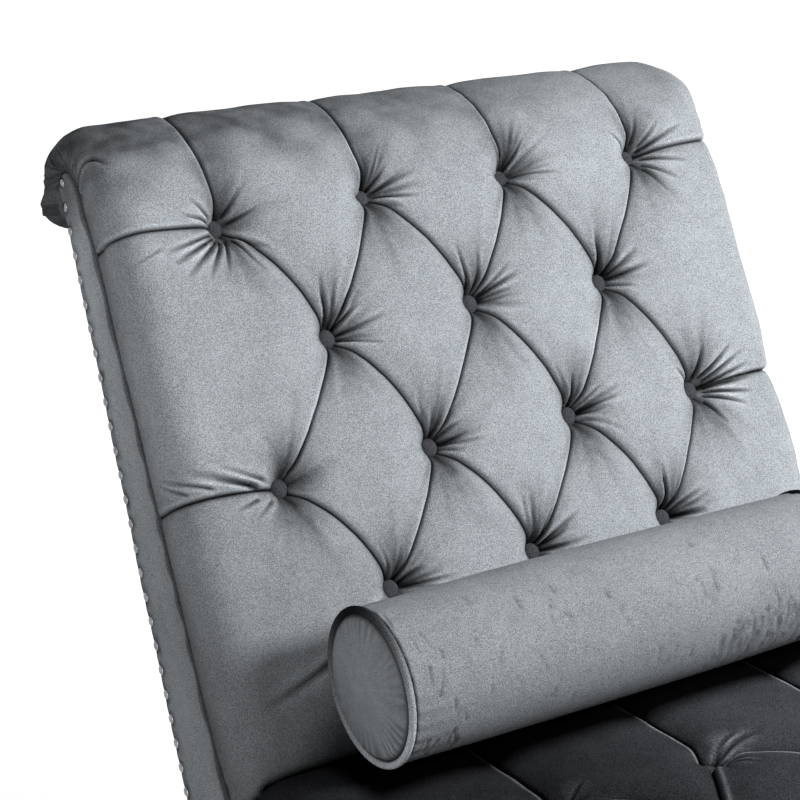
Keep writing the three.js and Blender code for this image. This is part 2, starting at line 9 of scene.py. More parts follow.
import bpy
import numpy as np
from mathutils import Matrix, Vector
from mathutils.geometry import delaunay_2d_cdt


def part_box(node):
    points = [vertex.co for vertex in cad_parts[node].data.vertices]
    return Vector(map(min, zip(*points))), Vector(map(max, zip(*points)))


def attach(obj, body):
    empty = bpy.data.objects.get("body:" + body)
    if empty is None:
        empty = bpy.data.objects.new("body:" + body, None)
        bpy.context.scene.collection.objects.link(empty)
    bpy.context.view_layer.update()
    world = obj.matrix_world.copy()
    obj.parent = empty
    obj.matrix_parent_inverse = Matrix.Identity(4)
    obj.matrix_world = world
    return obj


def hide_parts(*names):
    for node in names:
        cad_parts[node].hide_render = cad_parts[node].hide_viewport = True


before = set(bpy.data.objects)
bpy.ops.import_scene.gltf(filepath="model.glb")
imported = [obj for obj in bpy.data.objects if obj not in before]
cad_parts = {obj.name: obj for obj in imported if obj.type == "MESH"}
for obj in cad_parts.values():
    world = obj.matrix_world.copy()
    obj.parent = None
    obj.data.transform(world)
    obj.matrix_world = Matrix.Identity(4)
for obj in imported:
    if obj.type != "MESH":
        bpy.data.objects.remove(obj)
bpy.context.view_layer.update()

MM = 0.001

# The side view, as in the model
HALF_WIDTH = 318.0
FRAME_BOTTOM = 205.0
CREVICE_HEIGHT = 404.0
RECLINE = math.radians(27.3)
BACK_STRAIGHT = 440.0
ROLL_TOP_RADIUS = 125.0
ROLL_RADIUS = 46.5
SEAT_RUN = 1090.0
SEAT_RISE = math.radians(5.0)
SEAT_FALL = math.radians(2.0)
KNEE_RADIUS = 115.0
HEEL_SETBACK = 67.0
HEEL_RADIUS = 42.0
TIP_SETBACK = 11.0
TIP_DROP = 4.0
TIP_RADIUS = 15.0
PANEL_TOP_GAP = 45.0
CLEARANCE = 0.3
PAD_DEPTH = 58.0
SEAM_DEPTH = 57.8
BAND_DEPTH = 56.3
SKIN_DEPTH = 30.0
CREVICE_REACH = 55.0
END_DEPTH = 25.0
END_REACH = 12.0
HIGH_END_REACH = 6.0
END_LEAST = 0.3
BAND_THICKNESS = 3.7
PANEL_THICKNESS = 4.0

# The rows of buttons, from the crevice
BUTTON_SPACING = 145.0
ROW_PITCH = 111.0
FIRST_BACK_ROW = 112.0
BACK_ROWS = 4
FIRST_SEAT_ROW = 178.0
SEAT_ROWS = 9
BUTTON_RADIUS = 8.6
BUTTON_DOME = 4.2
BUTTON_RIM_DEPTH = 20.5
TOP_ROW_EXTRA = 3.0

QUARTER = math.pi / 2


def direction(heading):
    """The unit step in the side view for a heading from +Y towards +Z."""
    return np.stack([np.cos(heading), np.sin(heading)], -1)


def along(point, heading, distance):
    """The point at a distance from another along a heading."""
    return np.asarray(point, float) + np.asarray(distance, float)[..., None] * direction(heading)


def bell(offset, width, power=2):
    """One at the middle, falling off alike to either side."""
    return np.exp(-(offset / width) ** power)


def ramp(value, start, run):
    """Zero up to the start and one from a run beyond it on."""
    return np.clip((value - start) / run, 0, 1)


def fade(value, end, run):
    """One until a run before the end and zero from the end on."""
    return np.clip((end - value) / run, 0, 1)


def smooth(share):
    """An even step from zero to one."""
    share = np.clip(share, 0, 1)
    return share * share * (3 - 2 * share)


def facing(angle, way, power):
    """One where an angle lies in a way, and zero opposite."""
    return (0.5 + 0.5 * np.cos(angle - way)) ** power


def radius_and_angle(offset):
    return np.hypot(*offset.T), np.arctan2(offset[:, 1], offset[:, 0])


class Route:
    """A side line of straight and round stretches. A positive turn bends left of its way."""

    def __init__(self, start, heading):
        self.stretches = []
        self.length = 0.0
        self.end = (np.array(start, float), heading)

    def add(self, length, radius=0.0, side=1.0):
        point, heading = self.end
        self.stretches.append((self.length, point, heading, radius, side))
        self.length += length
        points, headings = self.at(np.array([self.length]))
        self.end = (points[0], float(headings[0]))
        return self

    def arc(self, radius, turn):
        return self.add(radius * abs(turn), radius, math.copysign(1.0, turn))

    def at(self, distance):
        """The points and headings at an array of distances."""
        distance = np.asarray(distance, float)
        points = np.zeros(distance.shape + (2,))
        headings = np.zeros(distance.shape)
        for start, point, heading, radius, side in self.stretches:
            here = (distance >= start) | (start == 0.0)
            run = distance[here] - start
            if radius:
                turned = heading + side * run / radius
                centre = along(point, heading + side * QUARTER, radius)
                points[here] = centre + radius * direction(turned - side * QUARTER)
                headings[here] = turned
            else:
                points[here] = point + run[..., None] * direction(heading)
                headings[here] = heading
        return points, headings


def touch_heading(point, centre, radius, side):
    """The heading of the line from a point that touches a circle."""
    offset = np.asarray(centre) - np.asarray(point)
    return math.atan2(offset[1], offset[0]) - side * math.asin(radius / math.hypot(*offset))


crevice = (0.0, CREVICE_HEIGHT)
back_heading = QUARTER - RECLINE
back_route = Route(crevice, back_heading).add(BACK_STRAIGHT).arc(ROLL_TOP_RADIUS, -back_heading)
arch_start = BACK_STRAIGHT
arch_end = back_route.length
roll_centre = along(back_route.end[0], -QUARTER, ROLL_RADIUS)

seat_heading = math.pi - SEAT_RISE
seat_route = Route(crevice, seat_heading)
seat_route.arc(SEAT_RUN / (SEAT_RISE + SEAT_FALL), SEAT_RISE + SEAT_FALL)
seat_route.arc(KNEE_RADIUS, QUARTER - SEAT_FALL)
seat_route.add(seat_route.end[0][1] - FRAME_BOTTOM)

half_crevice = (seat_heading - back_heading) / 2
crevice_slope = 1 / math.tan(half_crevice)
pad_start = CLEARANCE / (2 * math.sin(half_crevice))

tip_centre = roll_centre - np.array([TIP_SETBACK, TIP_DROP])
heel = np.array([HEEL_SETBACK, FRAME_BOTTOM])
rear_heading = touch_heading(heel, tip_centre, TIP_RADIUS, 1)
heel_reach = HEEL_RADIUS * math.tan(rear_heading / 2)
rear_length = math.hypot(*(tip_centre - heel))
rear_route = Route((heel[0] - 2 * heel_reach, heel[1]), 0.0).add(heel_reach)
rear_route.arc(HEEL_RADIUS, rear_heading)
rear_route.add(math.sqrt(rear_length ** 2 - TIP_RADIUS ** 2) - heel_reach)

outward = rear_heading - QUARTER
roll_setback = TIP_SETBACK * math.cos(outward) + TIP_DROP * math.sin(outward)
roll_inset = TIP_RADIUS + CLEARANCE - roll_setback
back_route.arc(ROLL_RADIUS, -(QUARTER - outward + math.acos(roll_inset / ROLL_RADIUS)))


def square_seam(route, distance, side):
    """The seam square below a pad, sheared near the crevice so that both pads meet there."""
    points, headings = route.at(distance)
    shear = PAD_DEPTH * crevice_slope * np.maximum(0.0, 1 - distance / CREVICE_REACH)
    inward = along(points, headings + side * QUARTER, PAD_DEPTH)
    return along(inward, headings + math.pi, shear)


arch_seam = square_seam(back_route, np.array([arch_start]), -1)[0]
seam_radius = TIP_RADIUS + CLEARANCE
tip_start = touch_heading(arch_seam, tip_centre, seam_radius, -1) + QUARTER
tip_turn = tip_start - outward
tip_top = along(tip_centre, tip_start, seam_radius)


def back_seam(distance):
    """The seam of the back: square to the pad, then straight to the tip and round it."""
    arch = ramp(distance, arch_start, arch_end - arch_start)
    roll = ramp(distance, arch_end, back_route.length - arch_end)
    over_arch = arch_seam + arch[..., None] * (tip_top - arch_seam)
    round_tip = along(tip_centre, tip_start - tip_turn * roll, seam_radius)
    above = np.where((distance > arch_end)[..., None], round_tip, over_arch)
    return np.where((distance > arch_start)[..., None], above, square_seam(back_route, distance, -1))


class Pad:
    """A route with its seam. Depth runs from the line over the puffs down to the seam."""

    def __init__(self, route, seam, up):
        self.route = route
        self.seam = seam
        self.up = up

    def spot(self, distance, depth):
        distance = np.asarray(distance, float)
        share = np.asarray(depth, float) / PAD_DEPTH * np.ones_like(distance)
        top = self.route.at(distance)[0]
        return top + share[..., None] * (self.seam(distance) - top)


def rear_seam(distance):
    points, headings = rear_route.at(distance)
    return along(points, headings + QUARTER, PAD_DEPTH)


back = Pad(back_route, back_seam, QUARTER)
seat = Pad(seat_route, lambda distance: square_seam(seat_route, distance, 1), -QUARTER)
rear = Pad(rear_route, rear_seam, -QUARTER)

pole_low, pole_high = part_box("roll_pole")
frame_shift = (pole_low.y + pole_high.y) / 2 / MM - tip_centre[0]


def in_frame(across, side):
    """Places across and side view points in millimetres as points of the frame in metres."""
    return np.column_stack([across, side[:, 0] + frame_shift, side[:, 1]]) * MM


def new_object(name, verts, faces, material, rounded=True):
    mesh = bpy.data.meshes.new(name)
    mesh.from_pydata(np.asarray(verts).tolist(), [], [list(face) for face in faces])
    mesh.polygons.foreach_set("use_smooth", [rounded] * len(mesh.polygons))
    mesh.materials.append(material)
    mesh.update()
    piece = bpy.data.objects.new(name, mesh)
    bpy.context.scene.collection.objects.link(piece)
    return piece


def paint_shading(piece, amounts):
    """Stores the painted shade at each point; below zero it is a painted highlight."""
    values = np.zeros(len(piece.data.vertices))
    values[:len(amounts)] = amounts
    piece.data.attributes.new("painted_shading", "FLOAT", "POINT").data.foreach_set("value", values)


def finish(piece, node, body):
    """Names the node that a piece stands for, which is hidden, and the body it rides on."""
    if node:
        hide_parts(node)
    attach(piece, body)


def unify(piece):
    """Makes all faces of a closed piece look outwards."""
    bpy.context.view_layer.objects.active = piece
    bpy.ops.object.mode_set(mode="EDIT")
    bpy.ops.mesh.select_all(action="SELECT")
    bpy.ops.mesh.normals_make_consistent(inside=False)
    bpy.ops.object.mode_set(mode="OBJECT")


def face_outwards(piece):
    """Turns the faces of a closed piece of triangles so that they look out of it."""
    mesh = piece.data
    corners = np.zeros(3 * len(mesh.polygons), int)
    mesh.polygons.foreach_get("vertices", corners)
    points = np.zeros(3 * len(mesh.vertices))
    mesh.vertices.foreach_get("co", points)
    a, b, c = points.reshape(-1, 3)[corners.reshape(-1, 3)].transpose(1, 0, 2)
    if np.einsum("ij,ij->", a, np.cross(b, c)) < 0:
        mesh.flip_normals()


def grid_faces(rows, columns, closed=False):
    """The faces of a grid of points given row by row, closed round each row if asked."""
    faces = []
    for j in range(rows - 1):
        for i in range(columns if closed else columns - 1):
            a, b = j * columns + i, j * columns + (i + 1) % columns
            faces.append((a, b, b + columns, a + columns))
    return faces


def closed_faces(faces, loops, shift):
    """A sheet's faces, the same of its other side, numbered on by a shift, and walls along its edges."""
    other = [tuple(corner + shift for corner in face)[::-1] for face in faces]
    walls = [(a, b, b + shift, a + shift) for loop in loops for a, b in zip(loop, loop[1:] + loop[:1])]
    return faces + other + walls


def turned_mesh(profile, sides):
    """The points and faces of a profile of radii and heights turned round +Z, shut at both ends."""
    angles = np.linspace(0, 2 * math.pi, sides, endpoint=False)
    verts = [(0.0, 0.0, profile[0][1])]
    for radius, height in profile[1:-1]:
        verts += [(radius * math.cos(a), radius * math.sin(a), height) for a in angles]
    verts.append((0.0, 0.0, profile[-1][1]))
    faces = [tuple(1 + f for f in face) for face in grid_faces(len(profile) - 2, sides, closed=True)]
    last = len(verts) - 1
    for i in range(sides):
        after = (i + 1) % sides
        faces.append((0, 1 + after, 1 + i))
        faces.append((last, last - sides + i, last - sides + after))
    return np.array(verts), faces


def triangles_of(places):
    """Joins places in the flat into triangles and gives these by the places' own numbers."""
    flat = [Vector(place) for place in places]
    _, _, faces, origins, _, _ = delaunay_2d_cdt(flat, [], [], 0, 1e-5)
    source = [origin[0] for origin in origins]
    return [[source[corner] for corner in face] for face in faces]


class Scatter:
    """Places in the flat, each kept only if no earlier one is closer than a gap."""

    CELL = 2.0

    def __init__(self):
        self.places = []
        self.cells = {}

    def clear(self, w, s, gap):
        reach = math.ceil(gap / self.CELL)
        column, row = int(w // self.CELL), int(s // self.CELL)
        for i in range(column - reach, column + reach + 1):
            for j in range(row - reach, row + reach + 1):
                for other_w, other_s in self.cells.get((i, j), ()):
                    if (other_w - w) ** 2 + (other_s - s) ** 2 < gap * gap:
                        return False
        return True

    def add(self, candidates, gap):
        for w, s in candidates.tolist():
            if self.clear(w, s, gap):
                self.cells.setdefault((int(w // self.CELL), int(s // self.CELL)), []).append((w, s))
                self.places.append((w, s))


def hexagonal(low, high, spacing):
    """A field of places that are evenly spaced in the flat."""
    rise = spacing * math.sqrt(3) / 2
    rows = np.arange(low[1], high[1], rise)
    columns = np.arange(low[0], high[0], spacing)
    w, s = np.meshgrid(columns, rows)
    w = w + (np.arange(len(rows)) % 2 * spacing / 2)[:, None]
    return np.column_stack([w.ravel(), s.ravel()])


def field(places, seed, length, terms=7):
    """A smooth seeded unevenness between about -1 and 1 with waves of the given length."""
    rng = np.random.default_rng(seed)
    total = np.zeros(len(places))
    for _ in range(terms):
        angle = rng.uniform(0, 2 * math.pi)
        wave = 2 * math.pi / (length * rng.uniform(0.7, 1.5))
        phase = rng.uniform(0, 2 * math.pi)
        total += np.sin(wave * (places @ np.array([math.cos(angle), math.sin(angle)])) + phase)
    return total / math.sqrt(terms)


# Depths and widths of a fold: its slit, the slope below it and the valley round it.
# The upper puff laps over the lower one, so its edge stands up as a lip and leans over the slit.
SLIT_DEPTH, SLIT_WIDTH, SLIT_POWER = 7.5, 1.2, 1.7
SLOPE_DEPTH, SLOPE_WIDTH = 3.4, 6.0
EDGE_DEPTH, EDGE_WIDTH = 3.0, 2.6
LIP_RISE, LIP_PLACE, LIP_WIDTH = 0.9, 5.0, 3.0
LEAN, LEAN_PLACE, LEAN_WIDTH, LEAN_RUN = 1.1, 1.2, 2.2, 0.7
VALLEY_WIDTH, VALLEY_POWER = 17.0, 1.6
BLEND_POWER = 4.0
BOW_CORE = 8.0
UPRIGHT = 0.1

# The least and the greatest depth of the valley, for folds between buttons and from them to each edge
INNER_VALLEY, LOW_VALLEY, HIGH_VALLEY, SIDE_VALLEY = (5.5, 9.0), (4.0, 9.0), (1.2, 7.0), (2.5, 8.0)
SIDE_BOW = 5.0

# Painted light and shade along a fold: painted shade in the slit, a painted highlight on the lip and a
# painted shadow below it
DARK_SLIT, DARK_PLACE, DARK_WIDTH = 0.96, -0.9, 2.3
LIGHT_LIP, LIGHT_PLACE, LIGHT_WIDTH = 0.4, 2.6, 1.1
DARK_SLOPE, DARK_REACH, FAR_SLOPE = 0.45, 5.0, 0.4
SLIT_ALONE = 0.3
FINE_SHARE, FINE_DARK, FINE_WIDTH = 0.7, 0.78, 0.55
DARKEST = 0.03

# A wrinkle: how soon it starts, how it dies out, and the ridges beside it in widths of its groove
WRINKLE_START, WRINKLE_POWER = 0.1, 0.7
RIDGE_SHARE, RIDGE_PLACE, RIDGE_WIDTH = 0.35, 2.1, 1.1
# How much painted shade a wrinkle's groove takes, and painted highlight its ridges, for each millimetre of
# depth
WRINKLE_SHADE = 0.3

# The pit round a button: steep towards the left, wide towards the upper right and below
PIT_DEPTH, PIT_POWER = 27.0, 1.6
PIT_NARROW, PIT_WIDE = 10.5, 19.0
PIT_WAY, PIT_TURN, PIT_HOLD = 0.35, 0.8, 0.7

# The unevenness of a cover: depth and length of its long and its short waves
LONG_WAVES, SHORT_WAVES = (0.7, 90.0), (0.25, 28.0)

# Painted shade round a button's pit: way in degrees, spread in degrees, reach and darkness
PIT_SHADES = (
    (72.0, 46.0, 43.0, 0.98), (14.0, 42.0, 34.0, 0.9), (-72.0, 42.0, 44.0, 0.96), (-108.0, 30.0, 34.0, 0.88),
    (180.0, 95.0, 12.0, 0.88),
)
PIT_SHADE_POWER = 2.2
STREAKS, STREAK_SHARE = (13, 21, 34), 0.28

# Painted shade along the side seams: how dark and how wide
EDGE_SHADES = ((0.85, 3.0), (0.3, 26.0))


class Fold:
    """A line in the flat from one place to another, bowed to one side."""

    def __init__(self, start, end, bow):
        self.start = np.array(start, float)
        self.end = np.array(end, float)
        run = self.end - self.start
        self.length = math.hypot(*run)
        self.unit = run / self.length
        normal = np.array([self.unit[1], -self.unit[0]])
        self.normal = normal if normal[0] > 1e-6 or (abs(normal[0]) <= 1e-6 and normal[1] > 0) else -normal
        self.bow = bow

    def gap(self, places):
        """The distance of each place from the line, below zero on one side, and its share along."""
        offset = places - self.start
        raw = offset @ self.unit / self.length
        share = np.clip(raw, 0, 1)
        square = offset @ self.normal - self.bow * 4 * share * (1 - share)
        slope = self.bow * 4 * (1 - 2 * share) / self.length
        square = square / np.sqrt(1 + slope ** 2 * bell(square, BOW_CORE))
        beyond = (raw - share) * self.length
        return np.copysign(np.hypot(square, beyond), square), share

    def line(self, step, offset):
        """Places along the line at an offset to its side."""
        share = np.linspace(0, 1, max(2, round(self.length / step) + 1))[:, None]
        slope = self.bow * 4 * (1 - 2 * share) / self.length
        reach = self.start + share * self.length * self.unit
        aside = (self.normal - slope * self.unit) / np.sqrt(1 + slope ** 2)
        return reach + self.bow * 4 * share * (1 - share) * self.normal + offset * aside


class Crease(Fold):
    """A fold between buttons or from a button to an edge, deeper towards its buttons."""

    def __init__(self, start, end, bow, valley=INNER_VALLEY, shut=True, bold=True):
        super().__init__(start, end, bow)
        self.valley = valley
        self.shut = shut
        self.sharp, self.dark, self.narrow = (1.0, 1.0, 1.0) if bold else (FINE_SHARE, FINE_DARK, FINE_WIDTH)
        self.broad = 1.0

    def upper_side(self):
        """Which side of the line laps over: the upper one, or the left one of an upright line."""
        return math.copysign(1.0, self.normal[1]) if abs(self.normal[1]) > UPRIGHT else -1.0

    def across(self, places):
        """How far each place lies to the upper side, and how near it is to a button."""
        gap, share = self.gap(places)
        return gap * self.upper_side(), np.abs(2 * share - 1) if self.shut else 1 - share

    def depths(self, places):
        """The valley, the fold in it and how far the lip leans over the slit."""
        above, near = self.across(places)
        gap = np.abs(above)
        floor = self.valley[0] + (self.valley[1] - self.valley[0]) * near ** 3
        wide = floor * bell(gap, VALLEY_WIDTH, VALLEY_POWER)
        below = SLOPE_DEPTH * np.exp(-gap / SLOPE_WIDTH)
        slope = np.where(above < 0, below, EDGE_DEPTH * bell(gap, EDGE_WIDTH))
        lip = LIP_RISE * bell(above - LIP_PLACE, LIP_WIDTH)
        slit = SLIT_DEPTH * bell(gap, SLIT_WIDTH, SLIT_POWER)
        lean = LEAN * bell(above - LEAN_PLACE, LEAN_WIDTH) * ramp(above, 0, LEAN_RUN)
        return wide, self.sharp * (slope + slit) - lip, self.sharp * lean

    def painted_shading(self, places):
        """Painted shade in the slit and below the lip, and a painted highlight on the lip, along the fold."""
        above, near = self.across(places)
        slit = self.dark * DARK_SLIT * bell(above - self.narrow * DARK_PLACE, DARK_WIDTH * self.narrow)
        lip = LIGHT_LIP * bell(above - LIGHT_PLACE * self.broad, LIGHT_WIDTH * self.broad)
        slope = np.where(above < 0, DARK_SLOPE * np.exp(above / DARK_REACH), 0.0)
        slope = slope * (FAR_SLOPE + (1 - FAR_SLOPE) * near)
        return np.where(slit > SLIT_ALONE, slit, np.maximum(slit, self.sharp * slope) - lip)


class Wrinkle(Fold):
    """A short groove with a ridge on either side that dies out along its way."""

    def __init__(self, start, end, depth, width, bow=0.0):
        super().__init__(start, end, bow)
        self.depth = depth
        self.width = width

    def depths(self, places):
        gap, share = self.gap(places)
        gap = np.abs(gap)
        taper = np.minimum(1, share / WRINKLE_START) * (1 - share) ** WRINKLE_POWER
        ridge = bell(gap - RIDGE_PLACE * self.width, RIDGE_WIDTH * self.width)
        return self.depth * taper * (bell(gap, self.width) - RIDGE_SHARE * ridge)

    # Painted shade in the groove and a painted highlight on the ridges beside it
    def painted_shading(self, places):
        return WRINKLE_SHADE * self.depths(places)


class Section:
    """The outline across a pad without its tufts, from the middle out to the side seam."""

    def __init__(self, flat, reach, round_depth, tuck):
        turn = np.linspace(0, QUARTER, 24)
        fall = np.linspace(0, 1, 12)[1:]
        self.x = np.concatenate([[0], flat + (reach - flat) * np.sin(turn), reach - tuck * fall ** 2])
        depth = [[0], round_depth * (1 - np.cos(turn)), round_depth + (SEAM_DEPTH - round_depth) * fall]
        self.depth = np.concatenate(depth)
        steps = np.hypot(np.diff(self.x), np.diff(self.depth))
        self.run = np.concatenate([[0], np.cumsum(steps)])
        self.half = self.run[-1]
        self.flat = flat
        tangent = np.gradient(np.column_stack([self.x, self.depth]), self.run, axis=0)
        tangent /= np.hypot(*tangent.T)[:, None]
        self.normal_x, self.normal_depth = tangent[:, 1], -tangent[:, 0]

    def at(self, across):
        side, run = np.sign(across), np.abs(across)
        x, depth = np.interp(run, self.run, self.x), np.interp(run, self.run, self.depth)
        normal_x = np.interp(run, self.run, self.normal_x)
        normal_depth = np.interp(run, self.run, self.normal_depth)
        return side * x, depth, side * normal_x, normal_depth


section = Section(flat=286.0, reach=320.5, round_depth=34.0, tuck=5.0)


class Tufting:
    """The buttons, creases and wrinkles of a cover in the flat. Rows of three and four alternate."""

    # shine scales the painted highlights on lips and ridges; the share after it scales the painted shade
    # round the buttons
    def __init__(self, pad, first_row, rows, bows, seed, shine, pit_shaded, pulls=None):
        self.pad, self.seed, self.shine, self.pit_shaded = pad, seed, shine, pit_shaded
        self.pulls = pulls or {}
        self.rows = []
        for i in range(rows):
            count = 3 + i % 2
            reach = (count - 1) * BUTTON_SPACING / 2
            self.rows.append((first_row + i * ROW_PITCH, np.linspace(-reach, reach, count)))
        self.knots = [self.knot(x, s) for s, places in self.rows for x in places]
        self.creases = self.inner_creases(bows) + self.edge_creases()
        self.wrinkles = []

    def knot(self, x, s):
        """Where the button that belongs at a place was really sewn down."""
        pull = self.pulls.get((x, s), (0.0, 0.0))
        return (x + pull[0], s + pull[1])

    def inner_creases(self, bows):
        """The creases from each button to its neighbours in the next row."""
        creases = []
        for (s, places), (next_s, next_places) in zip(self.rows, self.rows[1:]):
            for x in places:
                for next_x in next_places[np.abs(next_places - x) < BUTTON_SPACING]:
                    bold = next_x < x
                    bow = bows[0] if bold else bows[1]
                    creases.append(Crease(self.knot(x, s), self.knot(next_x, next_s), bow, bold=bold))
        return creases

    def edge_creases(self):
        """The creases from the outermost buttons to the edges."""
        creases = []
        (first, low_places), (last, high_places) = self.rows[0], self.rows[-1]
        for x in low_places:
            knot = self.knot(x, first)
            creases.append(Crease(knot, (knot[0], 0.0), 0.0, LOW_VALLEY, shut=False))
        for x in high_places:
            end = (x, self.pad.route.length)
            creases.append(Crease(self.knot(x, last), end, 0.0, HIGH_VALLEY, shut=False, bold=False))
        for s, places in self.rows:
            if len(places) == 4:
                for x in (places[0], places[-1]):
                    knot = self.knot(x, s)
                    edge = (math.copysign(section.half, x), knot[1])
                    creases.append(Crease(knot, edge, SIDE_BOW, SIDE_VALLEY, shut=False))
        return creases

    def sink(self, places):
        """How far the cover lies below the smooth line at each place, and how far it leans aside."""
        wide, fold = np.zeros((2, len(places)))
        lean = np.zeros((len(places), 2))
        for crease in self.creases:
            one_wide, one_fold, one_lean = crease.depths(places)
            wide += one_wide ** BLEND_POWER
            fold = np.where(np.abs(one_fold) > np.abs(fold), one_fold, fold)
            lean -= (one_lean * crease.upper_side())[:, None] * crease.normal
        pit = np.zeros(len(places))
        for knot in self.knots:
            radius, angle = radius_and_angle(places - knot)
            width = PIT_NARROW + (PIT_WIDE - PIT_NARROW) * facing(angle, PIT_WAY, PIT_TURN)
            pit = np.maximum(pit, PIT_DEPTH * bell(radius, width, PIT_POWER))
        wide += pit ** BLEND_POWER
        shallow = (1 - pit / PIT_DEPTH) ** PIT_HOLD
        sink = wide ** (1 / BLEND_POWER) + fold * shallow
        for wrinkle in self.wrinkles:
            sink += wrinkle.depths(places)
        for shift, (depth, length) in enumerate((LONG_WAVES, SHORT_WAVES)):
            sink += depth * field(places, self.seed + shift, length)
        return sink, lean * shallow[:, None]

    def painted_shading(self, places):
        """Painted shade at each place from folds, wrinkles, buttons and side seams; below zero it is a
        painted highlight.
        """
        brightness = np.ones(len(places))
        for line in self.creases + self.wrinkles:
            shade = line.painted_shading(places)
            brightness *= 1 - np.where(shade < 0, self.shine * shade, shade)
        brightness = np.clip(brightness, DARKEST, 1 + 0.5 * self.shine)
        for number, knot in enumerate(self.knots):
            brightness *= 1 - self.pit_shaded * pit_shade(places - knot, self.seed + number)
        from_seam = section.half - np.abs(places[:, 0])
        for dark, width in EDGE_SHADES:
            brightness *= 1 - dark * bell(from_seam, width)
        return 1 - np.maximum(brightness, DARKEST)


def pit_shade(offset, seed):
    """Painted shade round one button, streaked towards it."""
    radius, angle = radius_and_angle(offset)
    rng = np.random.default_rng(seed)
    streak = sum(np.sin(count * angle + rng.uniform(0, 2 * math.pi)) for count in STREAKS) / len(STREAKS)
    dark = np.zeros(len(offset))
    for way, spread, reach, amount in PIT_SHADES:
        turn = np.angle(np.exp(1j * (angle - math.radians(way))))
        side = bell(turn, math.radians(spread))
        here = reach * (0.55 + 0.45 * side) * (1 + STREAK_SHARE * streak)
        dark = np.maximum(dark, amount * side * bell(radius, here, PIT_SHADE_POWER))
    return dark


# The mesh of a cover: rows of points beside its folds and wrinkles with their step and least gap, rings
# round its buttons, and fields between them with the nearest and the farthest they come to a fold
FOLD_ROWS, FOLD_STEP, FOLD_GAP = (0.0, 0.7, 1.6, 3.0, 5.0), 1.7, 0.55
WRINKLE_ROWS, WRINKLE_STEP, WRINKLE_GAP = (0.0, 0.8, 1.7, 2.8), 1.9, 0.6
RINGS, RING_SIDES, RING_GAP = (2.5, 5.0, 7.5, 10.0, 12.5, 15.5, 19.0), 48, 1.1
FIELDS, FIELD_GAP = ((2.9, 4.5, 13.0), (5.6, 11.0, math.inf)), 0.6
BORDER_SPACING, BORDER_GAP, BORDER_MARGIN = 4.0, 0.4, 0.9


def even_places(low, high, spacing):
    """Places from one end to the other, about a spacing apart."""
    step = (high - low) / round((high - low) / spacing)
    return np.arange(low, high + step / 2, step)


def border_places(low, high, spacing, extra):
    """The edge of a rectangle in the flat, with some places on it that must be kept."""
    across, upwards = (even_places(*ends, spacing) for ends in zip(low, high))
    sides = [(w, s) for s in (low[1], high[1]) for w in across]
    sides += [(w, s) for w in (low[0], high[0]) for s in upwards[1:-1]]
    corners = [(w, s) for w in (low[0], high[0]) for s in (low[1], high[1])]
    scatter = Scatter()
    for places, gap in ((corners, 1e-3), (extra, 1e-3), (sides, spacing * BORDER_GAP)):
        scatter.add(np.array(places), gap)
    return scatter


def cover_places(tufting, low, high, scale):
    """Places for a tufted cover: close together along its folds and sparse between them."""
    on_border = [tuple(np.clip(c.end, low, high)) for c in tufting.creases if not c.shut]
    scatter = border_places(low, high, BORDER_SPACING * scale, on_border)
    border = len(scatter.places)

    def add(places, gap):
        fits = (places > np.add(low, BORDER_MARGIN)) & (places < np.subtract(high, BORDER_MARGIN))
        scatter.add(places[fits.all(1)], gap)

    def add_rows(lines, rows, step, gap, width_of):
        for row in rows:
            for line in lines:
                for side in (row, -row) if row else (row,):
                    add(line.line(step * scale, side * width_of(line)), gap * scale)

    add(np.array(tufting.knots), 0.1)
    add_rows(tufting.creases, FOLD_ROWS, FOLD_STEP, FOLD_GAP, lambda crease: scale)
    add_rows(tufting.wrinkles, WRINKLE_ROWS, WRINKLE_STEP, WRINKLE_GAP, lambda wrinkle: wrinkle.width)
    angles = np.linspace(0, 2 * math.pi, RING_SIDES, endpoint=False)[:, None]
    for radius in RINGS:
        for knot in tufting.knots:
            add(knot + radius * np.column_stack([np.cos(angles), np.sin(angles)]), RING_GAP * scale)
    for spacing, nearest, farthest in FIELDS:
        places = hexagonal(low, high, spacing * scale)
        gaps = np.min([np.abs(c.gap(places)[0]) for c in tufting.creases], axis=0)
        add(places[(gaps > nearest) & (gaps < farthest)], spacing * scale * FIELD_GAP)
    return np.array(scatter.places), border


# The inner face of a cover: how far it stays inside the width, its share of the depth and its mesh
LINING_INSET, LINING_SHARE = 22.0, 0.8
LINING_MARGIN, LINING_SPACING = 24.0, 30.0
HELD_AT_SEAM = 16.0


def lining_points(pad, places):
    """The inner face of a cover, under its wadding."""
    x, depth, _, _ = section.at(places[:, 0])
    inner = np.clip(x, LINING_INSET - HALF_WIDTH, HALF_WIDTH - LINING_INSET)
    return in_frame(inner, pad.spot(places[:, 1], np.maximum(SKIN_DEPTH, depth * LINING_SHARE)))


def skin_points(tufting, places, shape):
    """The outer face of a cover, sunk by its tufting and drawn in at both of its ends."""
    end = tufting.pad.route.length
    sink, lean = tufting.sink(places)
    if shape:
        sink += shape(places)
    low_end = END_DEPTH * np.exp(-places[:, 1] / END_REACH)
    high_end = END_DEPTH * np.exp((places[:, 1] - end) / HIGH_END_REACH)
    ends = np.maximum(low_end, high_end)
    sink = np.where(ends > END_LEAST, np.maximum(sink, ends), sink)
    held = ramp(section.half - np.abs(places[:, 0]), 0, HELD_AT_SEAM)
    moved = places + lean * held[:, None]
    moved[:, 1] = np.clip(moved[:, 1], pad_start, end)
    x, depth, normal_x, normal_depth = section.at(moved[:, 0])
    sink = sink * held
    depth = np.minimum(depth - normal_depth * sink, SEAM_DEPTH)
    return in_frame(x - normal_x * sink, tufting.pad.spot(moved[:, 1], depth))


